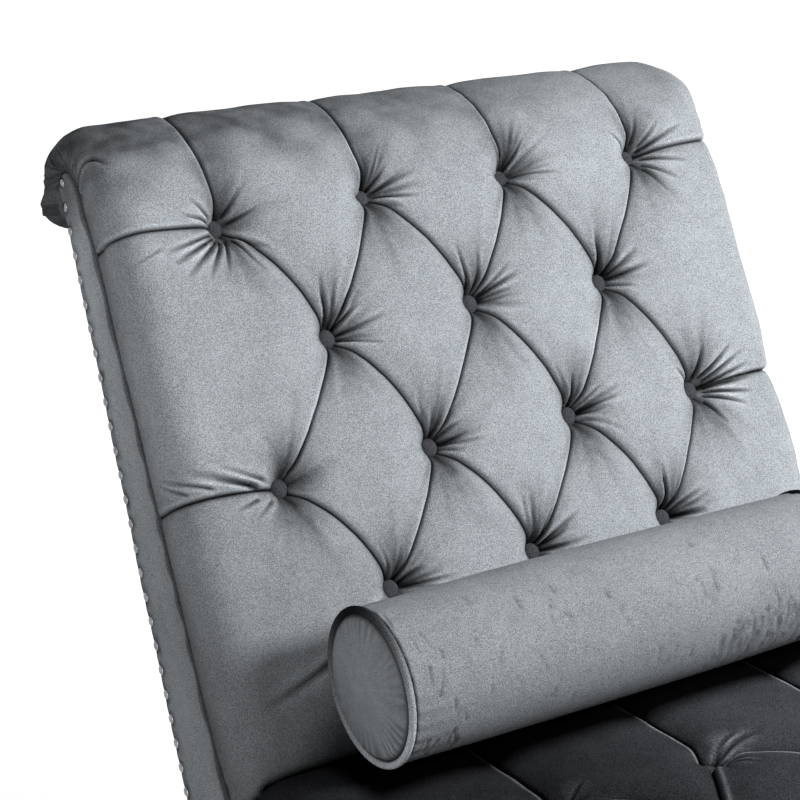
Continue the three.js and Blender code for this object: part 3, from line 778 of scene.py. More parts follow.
def tufted_cover(name, tufting, material, scale, extra_shade, shape=None):
    """A closed tufted cover over its wadding. The fifth argument adds painted shade and shape adds sink at
    given places.
    """
    low, high = (-section.half, pad_start), (section.half, tufting.pad.route.length)
    places, border = cover_places(tufting, low, high, scale)
    inner = hexagonal(np.add(low, LINING_MARGIN), np.subtract(high, LINING_MARGIN), LINING_SPACING)
    shift = len(places) - border
    faces = triangles_of(places)
    for face in triangles_of(np.vstack([places[:border], inner])):
        faces.append([corner if corner < border else corner + shift for corner in face][::-1])
    verts = np.vstack([skin_points(tufting, places, shape), lining_points(tufting.pad, inner)])
    piece = new_object(name, verts, faces, material)
    paint_shading(piece, 1 - (1 - tufting.painted_shading(places)) * (1 - extra_shade(places)))
    face_outwards(piece)
    return piece


def fill_in(tree, node, inputs):
    """Sets a node's inputs, each to a plain value or to another node's output."""
    for name, value in inputs.items():
        if isinstance(value, bpy.types.NodeSocket):
            tree.links.new(value, node.inputs[name])
        else:
            node.inputs[name].default_value = value


def add_node(tree, kind, inputs, **settings):
    node = tree.nodes.new("ShaderNode" + kind)
    for name, value in settings.items():
        setattr(node, name, value)
    fill_in(tree, node, inputs)
    return node


def new_material(name):
    material = bpy.data.materials.new(name)
    material.use_nodes = True
    return material, material.node_tree, material.node_tree.nodes["Principled BSDF"]


def object_space(tree):
    return add_node(tree, "TexCoord", {}).outputs["Object"]


def noise(tree, place, scale, detail=2.0, rough=0.5, stretch=None):
    if stretch:
        place = add_node(tree, "Mapping", {"Scale": stretch, "Vector": place}).outputs["Vector"]
    inputs = {"Scale": scale, "Detail": detail, "Roughness": rough, "Vector": place}
    return add_node(tree, "TexNoise", inputs).outputs["Fac"]


def spread_to(tree, value, low, high, from_low=0.3, from_high=0.7):
    """Spreads a value's middle range to a new one."""
    inputs = {"From Min": from_low, "From Max": from_high, "To Min": low, "To Max": high, "Value": value}
    return add_node(tree, "MapRange", inputs).outputs["Result"]


def number(tree, operation, first, second):
    """Two values, each a socket or a plain number, joined by an operation."""
    return add_node(tree, "Math", {0: first, 1: second}, operation=operation).outputs["Value"]


def tint(tree, dark, light, value):
    inputs = {6: (*dark, 1.0), 7: (*light, 1.0), 0: value}
    return add_node(tree, "Mix", inputs, data_type="RGBA").outputs[2]


def bump(tree, height, strength, distance):
    inputs = {"Strength": strength, "Distance": distance, "Height": height}
    return add_node(tree, "Bump", inputs).outputs["Normal"]


MIDDLE_PILE = 0.25


def velvet(name, dark, light, sheen, grain=0.95):
    """Short pile: a fine speckle, clouds where the hairs lean over, and the painted shade and painted
    highlights stored on the mesh.
    """
    material, tree, shader = new_material(name)
    place = object_space(tree)
    speckle = spread_to(tree, noise(tree, place, 1300.0, 1.0), MIDDLE_PILE - grain, MIDDLE_PILE + grain)
    clouds = spread_to(tree, noise(tree, place, 13.0, 3.0, 0.55), 0.0, 0.3)
    streaks = spread_to(tree, noise(tree, place, 60.0, 3.0, 0.6), 0.0, 0.2)
    pile = number(tree, "ADD", speckle, number(tree, "ADD", clouds, streaks))
    painted_shading = add_node(tree, "Attribute", {}, attribute_name="painted_shading").outputs["Fac"]
    shades = {0: tint(tree, dark, light, pile), "Scale": number(tree, "SUBTRACT", 1.0, painted_shading)}
    fill_in(tree, shader, {
        "Base Color": add_node(tree, "VectorMath", shades, operation="SCALE").outputs["Vector"],
        "Roughness": 0.85, "Specular IOR Level": 0.0,
        "Sheen Weight": sheen, "Sheen Roughness": 0.45, "Sheen Tint": (*light, 1.0),
        "Normal": bump(tree, noise(tree, place, 700.0, 2.0, 0.6), 0.5, 0.0008),
    })
    return material


def wood(name, dark, light, roughness, scale=1.0):
    """Long grain along the piece with darker veins."""
    material, tree, shader = new_material(name)
    place = object_space(tree)
    veins = noise(tree, place, 60.0 * scale, 5.0, 0.65, stretch=(0.12, 1.0, 1.0))
    pores = noise(tree, place, 400.0 * scale, stretch=(0.06, 1.0, 1.0))
    value = number(tree, "MULTIPLY", spread_to(tree, veins, 0.0, 1.0), spread_to(tree, pores, 0.6, 1.0))
    fill_in(tree, shader, {
        "Base Color": tint(tree, dark, light, value),
        "Roughness": spread_to(tree, pores, roughness + 0.08, roughness - 0.08),
        "Normal": bump(tree, pores, 0.2, 0.0004),
    })
    return material


def metal(name, dark, light, roughness):
    """Plated steel with faint smears and fine scratches."""
    material, tree, shader = new_material(name)
    place = object_space(tree)
    smear = noise(tree, place, 90.0, 3.0, 0.6)
    fill_in(tree, shader, {
        "Base Color": tint(tree, dark, light, smear), "Metallic": 1.0,
        "Roughness": spread_to(tree, smear, roughness - 0.06, roughness + 0.08),
        "Normal": bump(tree, noise(tree, place, 1500.0), 0.08, 0.0002),
    })
    return material


def woven(name, dark, light, pitch):
    """A plain weave: bumps of two crossing threads."""
    material, tree, shader = new_material(name)
    inputs = {
        "Scale": math.pi / (10 * pitch), "Distortion": 0.6, "Detail Scale": 2.0, "Vector": object_space(tree),
    }
    waves = [add_node(tree, "TexWave", inputs, bands_direction=axis).outputs["Fac"] for axis in ("X", "Y")]
    threads = number(tree, "MULTIPLY", *waves)
    fill_in(tree, shader, {
        "Base Color": tint(tree, dark, light, threads), "Roughness": 0.9,
        "Normal": bump(tree, threads, 0.5, 0.0006),
    })
    return material


def foam_material(name):
    """Open cells with a slight yellow drift."""
    material, tree, shader = new_material(name)
    place = object_space(tree)
    cells = add_node(tree, "TexVoronoi", {"Scale": 650.0, "Vector": place}).outputs["Distance"]
    walls = spread_to(tree, cells, 0.4, 1.0, 0.0, 0.6)
    value = number(tree, "MULTIPLY", walls, spread_to(tree, noise(tree, place, 9.0), 0.7, 1.0))
    fill_in(tree, shader, {
        "Base Color": tint(tree, (0.48, 0.38, 0.2), (0.85, 0.76, 0.52), value), "Roughness": 0.95,
        "Normal": bump(tree, cells, 0.5, 0.0008),
    })
    return material


GREY_VELVET = (0.24, 0.258, 0.275), (0.53, 0.565, 0.595)
back_velvet = velvet("velvet_grey", *GREY_VELVET, sheen=0.02)
end_velvet = velvet("velvet_end", *GREY_VELVET, sheen=0.02, grain=0.4)
# The seat's velvet and the buttons' velvet are the grey velvet darkened into painted shade.
shaded_seat_velvet = velvet("velvet_charcoal", (0.03, 0.031, 0.036), (0.1, 0.104, 0.114), sheen=0.01)
shaded_button_velvet = velvet("velvet_button_shaded", (0.036, 0.038, 0.044), (0.095, 0.1, 0.11), sheen=0.02)
nail_metal = metal("nail_nickel", (0.1, 0.1, 0.11), (0.36, 0.36, 0.38), 0.18)

RAILS = (
    "top_rail", "back_lower_rail", "seat_back_rail", "knee_rail", "front_apron", "rear_rail",
    "seat_cross_rail", "roll_pole",
)

# The side panels show only at their edges, which the bands' cloth wraps round.
NODE_MATERIALS = {
    ("leg_block",): wood("birch_ply", (0.40, 0.27, 0.14), (0.70, 0.53, 0.33), 0.7),
    RAILS: wood("pine_rail", (0.46, 0.29, 0.13), (0.78, 0.58, 0.34), 0.65),
    ("foot_",): wood("walnut_foot", (0.018, 0.009, 0.005), (0.06, 0.032, 0.018), 0.4, 1.6),
    ("mounting_plate",): metal("zinc_plate", (0.38, 0.39, 0.41), (0.66, 0.67, 0.69), 0.38),
    ("back_web", "seat_web"): woven("jute_web", (0.05, 0.04, 0.03), (0.16, 0.13, 0.10), 0.0022),
    ("dust_cover",): woven("dust_cloth", (0.006, 0.006, 0.007), (0.025, 0.025, 0.028), 0.0012),
    ("back_foam", "seat_foam", "roll_foam", "bolster_core"): foam_material("polyether_foam"),
    ("side_panel",): back_velvet,
}


def dress_nodes():
    for prefixes, material in NODE_MATERIALS.items():
        for name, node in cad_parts.items():
            if name.startswith(prefixes):
                node.data.materials.clear()
                node.data.materials.append(material)


# How far each button of the back is off its place, across and up
BACK_PULLS = {
    (-217.5, 445.0): (-6.0, -6.5), (-72.5, 445.0): (-6.5, 2.0),
    (72.5, 445.0): (-6.5, 1.0), (217.5, 445.0): (-8.0, 2.0),
    (-145.0, 334.0): (-1.5, -4.0), (0.0, 334.0): (0.5, 3.5), (145.0, 334.0): (-4.0, 0.5),
    (-217.5, 223.0): (-6.0, -8.0), (-72.5, 223.0): (-2.5, -2.0),
    (72.5, 223.0): (0.5, -1.5), (217.5, 223.0): (-6.5, -3.0),
}
back_tufting = Tufting(
    back, FIRST_BACK_ROW, BACK_ROWS, bows=(13.0, 6.0), seed=11, shine=1.3, pit_shaded=1.0, pulls=BACK_PULLS)
seat_tufting = Tufting(
    seat, FIRST_SEAT_ROW, SEAT_ROWS, bows=(3.0, 14.0), seed=23, shine=11.0, pit_shaded=0.35)

# Wrinkles at one button, as start, end, depth and width in millimetres from the button
TOP_LEFT_WRINKLES = [
    ((-6, -6), (-56, -17), 3.4, 1.7), ((-6, -9), (-52, -28), 3.8, 1.9), ((-4, -11), (-42, -40), 3.6, 2.0),
    ((-2, -12), (-24, -46), 3.2, 1.8), ((2, -12), (-6, -44), 2.6, 1.5), ((-58, -13), (-90, -24), 1.3, 1.3),
    ((-7, 5), (-34, 14), 3.0, 1.4), ((-6, 8), (-24, 26), 2.6, 1.4), ((6, 8), (24, 30), 3.0, 2.0),
    ((9, 2), (34, 10), 2.6, 1.6), ((8, -8), (40, -26), 3.0, 1.5), ((7, -11), (30, -44), 2.6, 1.5),
]
MIDDLE_LEFT_WRINKLES = [
    ((-24, 6), (-85, 29), 2.6, 2.6), ((-20, 4), (-62, 18), 2.6, 1.6), ((-62, 10), (-108, 27), 2.4, 1.5),
    ((-86, 10), (-116, 25), 1.8, 1.3), ((-14, 8), (-56, 28), 2.4, 1.8), ((-24, -5), (-48, -11), 2.4, 1.5),
    ((-12, -8), (-34, -22), 2.2, 1.5), ((8, 10), (24, 30), 2.0, 1.8),
]
TOP_RIGHT_WRINKLES = [
    ((8, 4), (60, 22), 3.2, 1.8), ((10, -4), (55, -14), 3.0, 1.8), ((8, -10), (40, -30), 2.8, 1.6),
    ((6, -14), (24, -42), 2.6, 1.6), ((10, 8), (34, 28), 2.6, 1.6), ((-6, 8), (-24, 26), 2.4, 1.6),
    ((10, 0), (48, 4), 2.6, 1.4), ((4, 12), (14, 38), 2.4, 1.5),
]
MIDDLE_RIGHT_WRINKLES = [
    ((8, 8), (46, 34), 4.2, 1.6), ((10, 5), (58, 26), 4.2, 1.6), ((10, 2), (64, 14), 4.4, 1.6),
    ((10, -1), (66, 1), 4.2, 1.6), ((10, -4), (60, -13), 4.2, 1.6), ((9, -7), (50, -24), 4.0, 1.6),
    ((4, 10), (16, 40), 3.8, 1.7), ((6, -12), (22, -40), 3.4, 1.6), ((-6, 8), (-20, 24), 2.8, 1.5),
]
FAN_DEPTH = 1.3

# The fold beside each end of the bolster, on the right side
LOW_WRINKLE = (154.0, 107.0), (292.0, 46.0)
LOW_DEPTH, LOW_WIDTH, LOW_BOW = 5.0, 3.0, 8.0

# The fold that curls off the band's tip and the pleats of the roll's left end
ROLL_WRINKLES = [
    ((-344, 521), (-303, 513), 7.0, 2.1, 18.0), ((-330, 552), (-352, 566), 3.0, 1.6, 0.0),
    ((-350, 546), (-326, 552), 3.6, 1.6, 3.0), ((-350, 563), (-322, 580), 3.2, 1.8, 2.0),
    ((-350, 584), (-326, 602), 2.6, 1.9, 2.0),
    ((-331, 655), (-357, 664), 1.4, 2.0, 0.0), ((-327, 688), (-349, 728), 1.4, 2.2, 0.0),
    ((-330, 615), (-354, 618), 3.0, 1.6, 0.0),
]

# The painted highlights on the seat's lips are broader than the back's, and the folds that leave its first
# row to the right bow more.
SEAT_HIGHLIGHT_SHARE = 1.6
FIRST_SEAT_BOW = 32.0


def wrinkles_at(knot, rows):
    return [Wrinkle(knot + start, knot + end, FAN_DEPTH * depth, width) for start, end, depth, width in rows]


def star_wrinkles(knot, rng, count, depth):
    """Short wrinkles round a button, most of them on its upper right."""
    wrinkles = []
    for angle in np.linspace(-0.35, 1.6, count) + rng.uniform(-0.18, 0.18, count):
        reach = rng.uniform(28, 56)
        way = np.array([math.cos(angle), math.sin(angle)])
        deep, width, bow = depth * rng.uniform(0.35, 1.2), rng.uniform(1.1, 2.1), rng.uniform(-2, 2)
        wrinkles.append(Wrinkle(knot + 7.5 * way, knot + reach * way, deep, width, bow))
    return wrinkles


def wrinkle_back():
    rng = np.random.default_rng(5)
    wrinkles = back_tufting.wrinkles
    wrinkles += [Wrinkle(*row) for row in ROLL_WRINKLES]
    for side in (-1, 1):
        start, end = ((side * x, s) for x, s in LOW_WRINKLE)
        wrinkles.append(Wrinkle(start, end, LOW_DEPTH, LOW_WIDTH, -side * LOW_BOW))
    outer = 1.5 * BUTTON_SPACING
    special = {
        (-outer, 3): TOP_LEFT_WRINKLES, (outer, 3): TOP_RIGHT_WRINKLES,
        (-outer, 1): MIDDLE_LEFT_WRINKLES, (outer, 1): MIDDLE_RIGHT_WRINKLES,
    }
    for row, (s, places) in enumerate(back_tufting.rows):
        for x in places:
            knot = np.array(back_tufting.knot(x, s))
            rows = special.get((x, row))
            wrinkles += wrinkles_at(knot, rows) if rows else star_wrinkles(knot, rng, 10, 4.2)


def wrinkle_seat():
    rng = np.random.default_rng(8)
    for crease in seat_tufting.creases:
        crease.broad = SEAT_HIGHLIGHT_SHARE
        if crease.start[1] == FIRST_SEAT_ROW and crease.shut and crease.end[0] > crease.start[0]:
            crease.bow = FIRST_SEAT_BOW
    for knot in seat_tufting.knots:
        seat_tufting.wrinkles += star_wrinkles(np.array(knot), rng, 6, 2.4)


# Stretches over which the painted shade on the back and on the seat changes, as a place and a run
ROLL_SHADE, TOWARDS_LEFT = (478.0, 70.0), (160.0, 420.0)
LEFT_END, PAST_BAND_TIP = (292.0, 22.0), (520.0, 30.0)
LOW_LEFT, NEAR_SEAT, OFF_SIDES = (60.0, 240.0), (260.0, 180.0), (270.0, 40.0)
UNDER_BOLSTER, BESIDE_BOLSTER, SEAT_LEFT = (112.0, 22.0), (266.0, 14.0), (60.0, 160.0)
END_DARK, LOW_LEFT_DARK, CREVICE_DARK, CREVICE_WIDTH = 0.2, 0.45, 0.8, 36.0
BOLSTER_SHADOW, SEAT_LEFT_DARK = 0.97, 0.58


def drift(places, seed, length):
    """An unevenness between zero and one."""
    return 0.5 + 0.5 * np.clip(field(places, seed, length), -1, 1)


def shade_on_back(places):
    """Painted shade over the top of the roll, more towards the left, on the roll's left end, low on the left
    near the seat and in the crevice.
    """
    w, s = places.T
    clouds, streaks = drift(places, 52, 60.0), drift(places, 53, 17.0)
    on_roll = ramp(s + 30 * clouds, *ROLL_SHADE) ** 1.5
    leftwards = fade(w, *TOWARDS_LEFT) ** 0.55
    roll = on_roll * (0.07 + 0.5 * leftwards) * (0.6 + 0.45 * clouds + 0.3 * streaks)
    end = ramp(-w, *LEFT_END) * ramp(s, *PAST_BAND_TIP)
    low_left = ramp(-w, *LOW_LEFT) * fade(s, *NEAR_SEAT)
    corner = CREVICE_DARK * bell(s, CREVICE_WIDTH) * fade(np.abs(w), *OFF_SIDES)
    return 1 - (1 - roll) * (1 - END_DARK * end) * (1 - LOW_LEFT_DARK * low_left) * (1 - corner)


def shade_on_seat(places):
    """Painted shadow where the bolster rests, and painted shade towards the left."""
    w, s = places.T
    under = BOLSTER_SHADOW * fade(s, *UNDER_BOLSTER) * fade(np.abs(w), *BESIDE_BOLSTER)
    return 1 - (1 - under) * (1 - SEAT_LEFT_DARK * fade(w, *SEAT_LEFT))


# The puff of the roll's left end, the bulge low on both of its ends, its gathers and how far the right
# side is held in along its way
LEFT_PUFF = 6.0
LOW_BULGE, BULGE_RUN, BULGE_SIDES = 13.0, (663.0, 72.0), (210.0, 80.0)
GATHER_DEPTH, GATHER_PITCH = 1.1, 19.0
HELD_IN_PLACES = (0.0, 200.0, 400.0, 440.0, 480.0, 530.0)
HELD_IN = (0.0, 5.5, 8.5, 12.5, 9.0, 1.0)

# The top of the roll is flatter than the model's: depth, place and run across
CROWN, CROWN_WIDTH = 565.0, 45.0
FLATTER = ((2.2, 1, -120.0, 120.0), (1.6, 1, 130.0, 60.0), (3.0, -1, 230.0, 40.0))
CORNER_RISE, CORNER, CORNER_WIDTH, CORNER_RUN = 3.5, 528.0, 35.0, (270.0, 20.0)


def shape_back(places):
    """The roll's left end is puffed out beside the band, and the right side is held in."""
    w, s = places.T
    beside = ramp(np.abs(w), section.flat, section.half - section.flat)
    on_roll = ramp(s, arch_start + 60.0, 70.0)
    gather = 0.5 + 0.5 * np.cos(2 * math.pi * s / GATHER_PITCH + 2.0 * field(places, 3, 60.0))
    gathers = GATHER_DEPTH * gather ** 2 * beside ** 1.5 * on_roll
    puff = LEFT_PUFF * np.sin(math.pi * beside ** 2.2) * ramp(s, arch_end, 50.0)
    held_in = np.interp(s, HELD_IN_PLACES, HELD_IN) * ramp(beside, 0.1, 0.3)
    flatter = sum(depth * ramp(side * w, start, run) for depth, side, start, run in FLATTER)
    corner = CORNER_RISE * bell(s - CORNER, CORNER_WIDTH) * ramp(w, *CORNER_RUN)
    bulge = LOW_BULGE * smooth(ramp(s, *BULGE_RUN)) * ramp(np.abs(w), *BULGE_SIDES)
    ends = np.where(w < 0, gathers - puff, 0.5 * gathers + held_in)
    return ends + flatter * bell(s - CROWN, CROWN_WIDTH) - corner - bulge


def button_piece(name, x, distance, pad, material, depth=BUTTON_RIM_DEPTH):
    """A covered button: a dome that tucks under at its rim."""
    r = BUTTON_RADIUS
    dome = [(r * math.sin(t), BUTTON_DOME * math.cos(t)) for t in np.linspace(0, QUARTER, 10)]
    under = [(r * 0.96, -0.9), (r * 0.8, -1.8), (r * 0.4, -3.0), (0.0, -5.0)]
    verts, faces = turned_mesh((dome + under)[::-1], 32)
    heading = float(pad.route.at(np.array([distance]))[1][0]) + pad.up
    foot = in_frame(np.array([x]), pad.spot(np.array([distance]), depth))[0]
    turn = Matrix.Rotation(heading - QUARTER, 3, "X")
    verts = np.array([foot + np.array(turn @ Vector(v)) * MM for v in verts])
    return new_object(name, verts, faces, material)


def build_back():
    wrinkle_back()
    cover = tufted_cover("cover_back", back_tufting, back_velvet, 1.0, shade_on_back, shape_back)
    finish(cover, "back_cover", "couch")
    for i, (x, s) in enumerate(back_tufting.knots, 1):
        depth = BUTTON_RIM_DEPTH + (TOP_ROW_EXTRA if s > arch_start - ROW_PITCH / 2 else 0)
        button = button_piece(f"button_back_{i}", x, s, back, shaded_button_velvet, depth)
        finish(button, f"back_button_{i}", "couch")


def build_seat():
    wrinkle_seat()
    cover = tufted_cover("cover_seat", seat_tufting, shaded_seat_velvet, 1.5, shade_on_seat)
    finish(cover, "seat_cover", "couch")
    for i, (x, s) in enumerate(seat_tufting.knots, 1):
        finish(button_piece(f"button_seat_{i}", x, s, seat, shaded_seat_velvet), None, "couch")


SIDES = (("left", -1), ("right", 1))

NAIL_RADIUS = 4.3
NAIL_HEIGHT = 1.9
NAIL_PITCH = 21.0
NAIL_INSET = 4.4
TOP_NAIL_TURN = math.radians(50)
NAIL_LIFT = 0.4

# How far each nail presses the band in and the painted shadow round it, with the reach of both
NAIL_PRESS, NAIL_PRESS_REACH = 1.1, 8.0
NAIL_SHADOW, NAIL_SHADOW_REACH = 0.75, 4.0

# The mesh of a band, its loft, its sunk edge and the puckers along the pads' seam
BAND_SPACING, BAND_FREE, BAND_RINGS = 9.0, 7.0, (1.2, 2.6, 4.4)
BAND_LOFT, BAND_EDGE = 1.0, -1.3
PUCKER, PUCKER_REACH, PUCKER_PITCH, PUCKER_DRIFT = 0.9, 16.0, 41.0, 57.0

# Painted shade along a band's seam, along its rim and round its tip: how dark and how wide
SEAM_SHADES, RIM_SHADE, TIP_SHADE = ((0.8, 2.2), (0.2, 12.0)), (0.7, 2.0), (0.65, 34.0)


def side_outline():
    """The side band's outline, with how much of it lies along the pads' seam."""
    back_runs = np.arange(back_route.length - 4.0, pad_start, -4.0)
    seat_runs = np.arange(4.0, seat_route.length, 6.0)
    rear_runs = np.concatenate([
        np.linspace(heel_reach, heel_reach + HEEL_RADIUS * rear_heading, 12),
        np.arange(heel_reach + HEEL_RADIUS * rear_heading, rear_route.length, 6.0)[1:],
    ])
    seam = np.vstack([back.spot(back_runs, BAND_DEPTH), seat.spot(seat_runs, BAND_DEPTH)])
    end = seat.spot(np.array([seat_route.length]), BAND_DEPTH)
    rim = np.vstack([end, rear.spot(rear_runs, 0.0), rear.spot(np.array([rear_route.length]), 0.0)])
    return seam, rim


def inside_outline(points, outline):
    """Which points lie inside a closed outline."""
    inside = np.zeros(len(points), bool)
    for (y0, z0), (y1, z1) in zip(outline, np.roll(outline, -1, axis=0)):
        crosses = (z0 > points[:, 1]) != (z1 > points[:, 1])
        if z0 != z1:
            inside ^= crosses & (points[:, 0] < (y1 - y0) * (points[:, 1] - z0) / (z1 - z0) + y0)
    return inside


def gap_to(points, outline):
    """The distance of each point to an open line, and how far along the line it is."""
    best = np.full(len(points), np.inf)
    run_at = np.zeros(len(points))
    run = 0.0
    for a, b in zip(outline[:-1], outline[1:]):
        step = b - a
        length = math.hypot(*step)
        share = np.clip((points - a) @ step / length ** 2, 0, 1)
        gap = np.hypot(*(points - a - share[:, None] * step).T)
        nearer = gap < best
        best[nearer] = gap[nearer]
        run_at[nearer] = run + share[nearer] * length
        run += length
    return best, run_at


def nail_spots():
    """The nails' places down the rear edge of a band, from its tip to the heel."""
    round_tip = tip_centre + (TIP_RADIUS - NAIL_INSET) * direction(outward + TOP_NAIL_TURN)
    first = rear_route.length - NAIL_PITCH + (TIP_RADIUS - NAIL_INSET) * TOP_NAIL_TURN
    straight = np.arange(first, heel_reach + 10.0, -NAIL_PITCH)
    return np.vstack([round_tip, rear.spot(straight, NAIL_INSET)])


def band_places(outline):
    """The outline, rings just inside it and a field of places within them."""
    inner = hexagonal(outline.min(0), outline.max(0), BAND_SPACING)
    edge_gap, _ = gap_to(inner, np.vstack([outline, outline[:1]]))
    inner = inner[inside_outline(inner, outline) & (edge_gap > BAND_FREE)]
    return np.vstack([outline, *[inset_ring(outline, inset) for inset in BAND_RINGS], inner])


def nail_marks(flat):
    """How far the nails press a band in, and the painted shadow round them."""
    press, dark = np.zeros((2, len(flat)))
    for spot in nail_spots():
        gap = np.hypot(*(flat - spot).T)
        press += NAIL_PRESS * bell(gap, NAIL_PRESS_REACH)
        dark = np.maximum(dark, NAIL_SHADOW * bell(np.maximum(0, gap - NAIL_RADIUS), NAIL_SHADOW_REACH))
    return press, dark


def shade_on_band(flat, seam_gap, rim_gap, nails):
    """Painted shade in a band's seams, along its rim, round its nails and at its tip, and painted light:
    darker low down and lighter upwards.
    """
    darks = [dark * bell(seam_gap, width) for dark, width in SEAM_SHADES]
    darks.append(RIM_SHADE[0] * bell(rim_gap, RIM_SHADE[1]))
    darks.append(TIP_SHADE[0] * bell(np.hypot(*(flat - tip_centre).T), TIP_SHADE[1]))
    dark = np.maximum.reduce([*darks, nails])
    return 1 - (1 - dark) * (0.88 + 0.7 * ramp(flat[:, 1], 480.0, 320.0))


def build_band(side, sign):
    seam, rim = side_outline()
    outline = np.vstack([seam, rim])
    flat = band_places(outline)
    count, total = len(outline), len(flat)
    seam_gap, run = gap_to(flat, seam)
    press, nails = nail_marks(flat)
    waves = np.sin(2 * math.pi * run / PUCKER_PITCH + 2.5 * np.sin(run / PUCKER_DRIFT))
    pucker = PUCKER * np.exp(-seam_gap / PUCKER_REACH) * waves
    loft = BAND_LOFT + pucker + 0.5 * field(flat, 31, 120.0) - press
    loft[:count] = BAND_EDGE
    front = in_frame(sign * (HALF_WIDTH + loft), flat)
    hidden = in_frame(np.full(count, sign * (HALF_WIDTH - BAND_THICKNESS)), outline)
    faces = kept_inside(triangles_of(flat), flat, outline)
    for i in range(count):
        after = (i + 1) % count
        faces += [(i, after, total + after), (i, total + after, total + i)]
    for face in kept_inside(triangles_of(outline), outline, outline):
        faces.append([total + corner for corner in face][::-1])
    piece = new_object(f"band_{side}", np.vstack([front, hidden]), faces, back_velvet)
    paint_shading(piece, shade_on_band(flat, seam_gap, gap_to(flat, rim)[0], nails))
    unify(piece)
    finish(piece, f"side_band_{side}", "couch")
    build_nails(side, sign)


def inset_ring(outline, inset):
    """The outline drawn in a little, without the places where it would fold over itself."""
    before, after = np.roll(outline, 1, axis=0), np.roll(outline, -1, axis=0)
    way = after - before
    way /= np.hypot(*way.T)[:, None]
    area = np.sum(outline[:, 0] * after[:, 1] - after[:, 0] * outline[:, 1])
    inward = np.column_stack([-way[:, 1], way[:, 0]]) * math.copysign(1.0, area)
    ring = outline + inset * inward
    gap, _ = gap_to(ring, np.vstack([outline, outline[:1]]))
    return ring[inside_outline(ring, outline) & (gap > 0.8 * inset)]


def kept_inside(faces, places, outline):
    """The faces whose middles lie inside an outline."""
    middles = places[np.array(faces)].mean(1)
    return [face for face, kept in zip(faces, inside_outline(middles, outline)) if kept]


def build_nails(side, sign):
    r = NAIL_RADIUS
    dome = [(r * math.sin(t), NAIL_HEIGHT * math.cos(t)) for t in np.linspace(0, QUARTER, 7)]
    verts, faces = turned_mesh((dome + [(r * 0.9, -0.4), (0.0, -0.6)])[::-1], 20)
    lying = np.column_stack([sign * verts[:, 2], verts[:, 1] * sign, verts[:, 0]])
    all_verts, all_faces = [], []
    for spot in nail_spots():
        centre = in_frame(np.array([sign * (HALF_WIDTH + NAIL_LIFT)]), spot[None])[0]
        start = len(all_verts) * len(verts)
        all_verts.append(centre + lying * MM)
        all_faces += [tuple(corner + start for corner in face) for face in faces]
    piece = new_object(f"nails_{side}", np.vstack(all_verts), all_faces, nail_metal)
    unify(piece)
    finish(piece, None, "couch")


def panel_depth(flat, edge):
    """How deep the outside back's cloth lies: rolled in and puckered at its edge, a little uneven within."""
    s = flat[:, 1]
    pull = 0.7 * np.sin(2 * math.pi * s / 46.0 + 2 * np.sin(s / 60.0)) * np.exp(-edge / 18.0)
    uneven = 0.6 * field(flat, 41, 160.0) * (1 - np.exp(-edge / 20.0))
    return 1.6 * np.exp(-edge / 2.0) - 0.8 - pull * (1 - np.exp(-edge / 3.0)) - uneven


def build_outside_back():
    reach = HALF_WIDTH - BAND_THICKNESS - CLEARANCE
    widths = np.linspace(-reach, reach, 110)
    runs = np.linspace(heel_reach, rear_route.length - PANEL_TOP_GAP, 120)
    w, s = (values.ravel() for values in np.meshgrid(widths, runs))
    edge = np.minimum(reach - np.abs(w), np.minimum(s - runs[0], runs[-1] - s))
    depths = (panel_depth(np.column_stack([w, s]), edge), np.full(len(w), PANEL_THICKNESS))
    verts = np.vstack([in_frame(w, rear.spot(s, depth)) for depth in depths])
    rows, columns = len(runs), len(widths)
    faces = closed_faces(grid_faces(rows, columns), [edge_loop(rows, columns)], len(w))
    piece = new_object("panel_outside_back", verts, faces, back_velvet)
    unify(piece)
    finish(piece, "outside_back_panel", "couch")


def edge_loop(rows, columns):
    """The numbers of a grid's outer points, in order round it."""
    grid = np.arange(rows * columns).reshape(rows, columns)
    return np.concatenate([grid[0, :-1], grid[:-1, -1], grid[-1, :0:-1], grid[:0:-1, 0]]).tolist()


BOLSTER_RADIUS = 65.5
BOLSTER_LENGTH = 460.0
BOLSTER_CROWN = 2.0
PIPING_RADIUS = 3.0
BOLSTER_SKIN = 1.5

# Ways round the bolster from its rear side, upwards
HIGH_REAR, LOW_FRONT, GATHERED_TOP = math.radians(62), math.radians(220), math.radians(85)

# The short creases of its cover: how many, how dark their painted shade is, and how far each one is looked
# for
CREASES, CREASE_SHADE, CREASE_REACH = 170, 0.42, 60.0


def bolster_centre():
    low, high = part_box("bolster_cover")
    return np.array([0.0, (low.y + high.y) / 2, (low.z + high.z) / 2])


def polar(x, radius, angle):
    return np.column_stack([x, radius * np.cos(angle), radius * np.sin(angle)])


def bolster_cloth(x, turn, end):
    """The radius of the cover and its painted shade: gathered at both ends and loose between them, shaded in
    its creases, at both ends and low at the front.
    """
    from_end = end - np.abs(x)
    ripple = np.sin(26 * turn + 3 * np.sin(2 * turn) + 2 * np.sign(x))
    gather = 0.55 * ripple * np.exp(-from_end / 16.0)
    loose = 0.9 * np.sin(3 * turn + x / 70.0) * np.sin(x / 90.0 + 1.3)
    creased, painted_shading = bolster_wrinkles(np.column_stack([x, BOLSTER_RADIUS * turn]), end)
    painted_shading = np.maximum(painted_shading, 0.9 * bell(from_end, 2.2))
    core = BOLSTER_RADIUS - BOLSTER_CROWN * (x / end) ** 2 - BOLSTER_SKIN
    radius = np.maximum(core + 0.1, core + BOLSTER_SKIN - 0.3 + 0.3 * loose + gather - creased)
    return radius, 1 - (1 - painted_shading) * (0.86 - 0.18 * facing(turn, LOW_FRONT, 2))


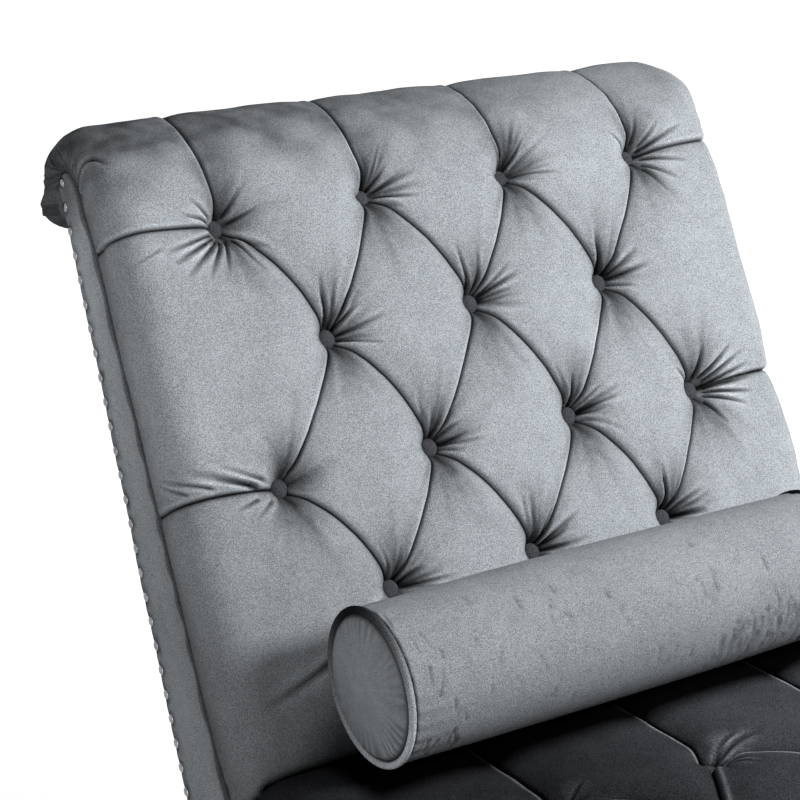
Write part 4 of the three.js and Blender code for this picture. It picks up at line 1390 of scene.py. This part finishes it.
def build_bolster():
    centre = bolster_centre()
    end = BOLSTER_LENGTH / 2 - 2 * PIPING_RADIUS - CLEARANCE
    rows, columns = 200, 260
    across = end * np.sin(np.linspace(-QUARTER, QUARTER, rows))
    angles = np.linspace(0, 2 * math.pi, columns, endpoint=False)
    x, turn = (values.ravel() for values in np.meshgrid(across, angles, indexing="ij"))
    outer, painted_shading = bolster_cloth(x, turn, end)
    inner = np.full(len(x), BOLSTER_RADIUS - BOLSTER_SKIN - BOLSTER_CROWN)
    verts = np.vstack([polar(x, outer, turn), polar(x, inner, turn)])
    loops = [list(range(row * columns, (row + 1) * columns)) for row in (0, rows - 1)]
    faces = closed_faces(grid_faces(rows, columns, closed=True), loops, len(x))
    cover = new_object("bolster_skin", centre + verts * MM, faces, back_velvet)
    paint_shading(cover, painted_shading)
    unify(cover)
    finish(cover, "bolster_cover", "bolster")
    for side, sign in SIDES:
        build_piping(side, sign, centre)
        build_bolster_end(side, sign, centre, end)


def bolster_wrinkles(flat, end):
    """Short creases round the cover, most of them low at the front and near its ends, with painted shade in
    them.
    """
    rng = np.random.default_rng(61)
    round_it = 2 * math.pi * BOLSTER_RADIUS
    creased, painted_shading = np.zeros(len(flat)), np.zeros(len(flat))
    for i in range(CREASES):
        x = end * (1 - rng.uniform(0, 1) ** 1.5) * rng.choice([-1, 1])
        place = rng.uniform(0.3, 0.75) * round_it
        way = np.array([rng.uniform(-0.35, 0.35), rng.choice([-1, 1])])
        reach, depth = rng.uniform(10, 30), rng.uniform(0.6, 1.5)
        if i % 2:
            x, place = end - 150.0 * rng.uniform(0, 1) ** 1.3, rng.uniform(0.46, 0.56) * round_it
            reach, depth = rng.uniform(22, 48), rng.uniform(0.8, 1.5)
            way = np.array([rng.uniform(-0.25, 0.05), 1.0])
        start = np.array([x, place])
        wrinkle = Wrinkle(start, start + reach * way, depth, rng.uniform(1.0, 1.8), rng.uniform(-4, 4))
        near = np.flatnonzero(np.abs(flat - start).max(1) < CREASE_REACH)
        depths = wrinkle.depths(flat[near])
        creased[near] += depths
        painted_shading[near] = np.maximum(painted_shading[near], CREASE_SHADE * depths)
    return creased, painted_shading


def build_piping(side, sign, centre):
    """A corded seam: a ring whose cover shows the twist of the cord inside."""
    ring, sides, turns = BOLSTER_RADIUS - PIPING_RADIUS, 14, 240
    big, small = np.meshgrid(np.linspace(0, 2 * math.pi, turns, endpoint=False),
                             np.linspace(0, 2 * math.pi, sides, endpoint=False), indexing="ij")
    big, small = big.ravel(), small.ravel()
    thick = PIPING_RADIUS + 0.12 * np.sin(70 * big + 2 * small)
    radius = ring + thick * np.cos(small)
    x = sign * (BOLSTER_LENGTH / 2 - PIPING_RADIUS) + thick * np.sin(small)
    verts = centre + polar(x, radius, big) * MM
    faces = grid_faces(turns + 1, sides, closed=True)
    faces = [tuple(corner % (turns * sides) for corner in face) for face in faces]
    piece = new_object(f"piping_{side}", verts, faces, back_velvet)
    # Painted shade on the piping's high rear and a painted highlight low at its front
    paint_shading(piece, 0.97 * facing(big, HIGH_REAR, 1.1) - 0.7 * facing(big, LOW_FRONT, 3))
    unify(piece)
    finish(piece, f"bolster_piping_{side}", "bolster")


def end_pleats(share, angle, from_rim):
    """The pleats of an end panel, deepest low at the front and at the top."""
    fine = np.sin(34 * angle + 3 * np.sin(5 * angle) + 1.2 * np.sin(11 * angle))
    gathered = facing(angle, LOW_FRONT, 4) + 0.5 * facing(angle, GATHERED_TOP, 10)
    pleat = fine * share ** 0.8 * np.clip((1 - share) * 12, 0, 1)
    return pleat * (0.1 + gathered * bell(from_rim, 14.0))


def build_bolster_end(side, sign, centre, end):
    """An end panel gathered from the piping towards its middle."""
    rim = BOLSTER_RADIUS - 2 * PIPING_RADIUS - CLEARANCE
    columns, rows = 360, 36
    angles = np.linspace(0, 2 * math.pi, columns, endpoint=False)
    share, angle = (v.ravel() for v in np.meshgrid(np.linspace(1, 0, rows)[:-1], angles, indexing="ij"))
    from_rim = (1 - share) * rim
    pleat = end_pleats(share, angle, from_rim)
    height = 2 * PIPING_RADIUS + 5.0 * (1 - share ** 2) + 1.1 * pleat - 2.0 * bell(1 - share, 0.05)
    front = polar(sign * (end + height), rim * share, angle)
    behind = sign * (end + CLEARANCE)
    rear_ring = polar(np.full(columns, behind), np.full(columns, rim), angles)
    middle = np.array([[sign * (end + 2 * PIPING_RADIUS + 4.6), 0, 0], [behind, 0, 0]])
    verts = np.vstack([rear_ring, front, middle])
    faces = grid_faces(rows, columns, closed=True)
    for i in range(columns):
        after = (i + 1) % columns
        faces.append(((rows - 1) * columns + i, (rows - 1) * columns + after, rows * columns))
        faces.append((after, i, rows * columns + 1))
    piece = new_object(f"end_{side}", centre + verts * MM, faces, end_velvet)
    # Painted shade: dark at the rim inside the piping, darker over the whole panel, lighter and darker along
    # the pleats, and dark on the hidden rear ring
    dark = np.minimum(0.85 * bell(from_rim, 2.4) + 0.2 * bell(from_rim, 12.0), 0.9)
    dark = 1 - (1 - dark) * 0.82 * (1 + 0.45 * pleat)
    paint_shading(piece, np.concatenate([np.full(columns, 0.9), dark]))
    unify(piece)
    finish(piece, f"bolster_end_{side}", "bolster")


CAMERA_PLACE = (-0.9511, -0.8461, 1.2199)
CAMERA_TURN = math.radians(31.46)
CAMERA_PITCH = math.radians(19.62)
CAMERA_ROLL = math.radians(0.17)
CAMERA_LENS = 91.64
SENSOR = 36.0


def build_camera():
    forward = Vector((math.sin(CAMERA_TURN) * math.cos(CAMERA_PITCH),
                      math.cos(CAMERA_TURN) * math.cos(CAMERA_PITCH), -math.sin(CAMERA_PITCH)))
    level = Vector((math.cos(CAMERA_TURN), -math.sin(CAMERA_TURN), 0))
    down = forward.cross(level)
    right = math.cos(CAMERA_ROLL) * level + math.sin(CAMERA_ROLL) * down
    up = forward.cross(right) * -1
    data = bpy.data.cameras.new("camera")
    data.lens, data.sensor_width = CAMERA_LENS, SENSOR
    data.clip_end = 50
    camera = bpy.data.objects.new("camera", data)
    basis = Matrix((right, up, -forward)).transposed().to_4x4()
    camera.matrix_world = Matrix.Translation(CAMERA_PLACE) @ basis
    bpy.context.scene.collection.objects.link(camera)
    bpy.context.scene.camera = camera


def area_light(name, place, target, size, power):
    data = bpy.data.lights.new(name, "AREA")
    data.shape, data.size, data.energy = "DISK", size, power
    lamp = bpy.data.objects.new(name, data)
    lamp.location = place
    lamp.rotation_euler = (Vector(target) - Vector(place)).to_track_quat("-Z", "Y").to_euler()
    bpy.context.scene.collection.objects.link(lamp)


def seen_directly(tree):
    """One for rays from the camera and in reflections and glass, and zero for light."""
    path = add_node(tree, "LightPath", {})
    value = path.outputs["Is Camera Ray"]
    for name in ("Is Glossy Ray", "Is Transmission Ray"):
        value = number(tree, "MAXIMUM", value, path.outputs[name])
    return value


def build_world(fill):
    world = bpy.data.worlds.new("world")
    bpy.context.scene.world = world
    world.use_nodes = True
    tree = world.node_tree
    strength = add_node(tree, "MapRange", {"To Min": fill, "To Max": 1.0, "Value": seen_directly(tree)})
    background = {"Color": (1, 1, 1, 1), "Strength": strength.outputs["Result"]}
    fill_in(tree, tree.nodes["Background"], background)


FLOOR_GLOW = 0.86
FLOOR_FADE = (1.2, 3.2)
FLOOR_REACH = 30.0


def build_floor():
    """A white floor that still takes the shadow."""
    material, tree, shader = new_material("floor_white")
    fill_in(tree, shader, {"Base Color": (0.8, 0.8, 0.8, 1), "Roughness": 0.9, "Specular IOR Level": 0.1})
    distance = add_node(tree, "VectorMath", {0: object_space(tree)}, operation="LENGTH").outputs["Value"]
    level = spread_to(tree, distance, FLOOR_GLOW, 1.0, *FLOOR_FADE)
    strength = number(tree, "MULTIPLY", level, seen_directly(tree))
    glow = add_node(tree, "Emission", {"Color": (1, 1, 1, 1), "Strength": strength})
    both = add_node(tree, "AddShader", {0: shader.outputs[0], 1: glow.outputs[0]})
    fill_in(tree, tree.nodes["Material Output"], {"Surface": both.outputs[0]})
    corners = [(x * FLOOR_REACH, y * FLOOR_REACH, 0) for x, y in ((-1, -1), (1, -1), (1, 1), (-1, 1))]
    new_object("floor", corners, [(0, 1, 2, 3)], material, rounded=False)


def build_light():
    middle = (0.0, 0.45, 0.62)
    area_light("key", (1.2, -0.7, 1.6), middle, 0.75, 46.0)
    area_light("fill", (-2.2, -1.0, 1.1), middle, 1.8, 21.0)


def report_size():
    bpy.context.view_layer.update()


build_camera()
build_world(0.1)
build_floor()
build_light()
dress_nodes()
build_back()
build_seat()
for side_name, side_sign in SIDES:
    build_band(side_name, side_sign)
build_outside_back()
build_bolster()
bpy.context.scene.view_settings.view_transform = "Standard"
report_size()
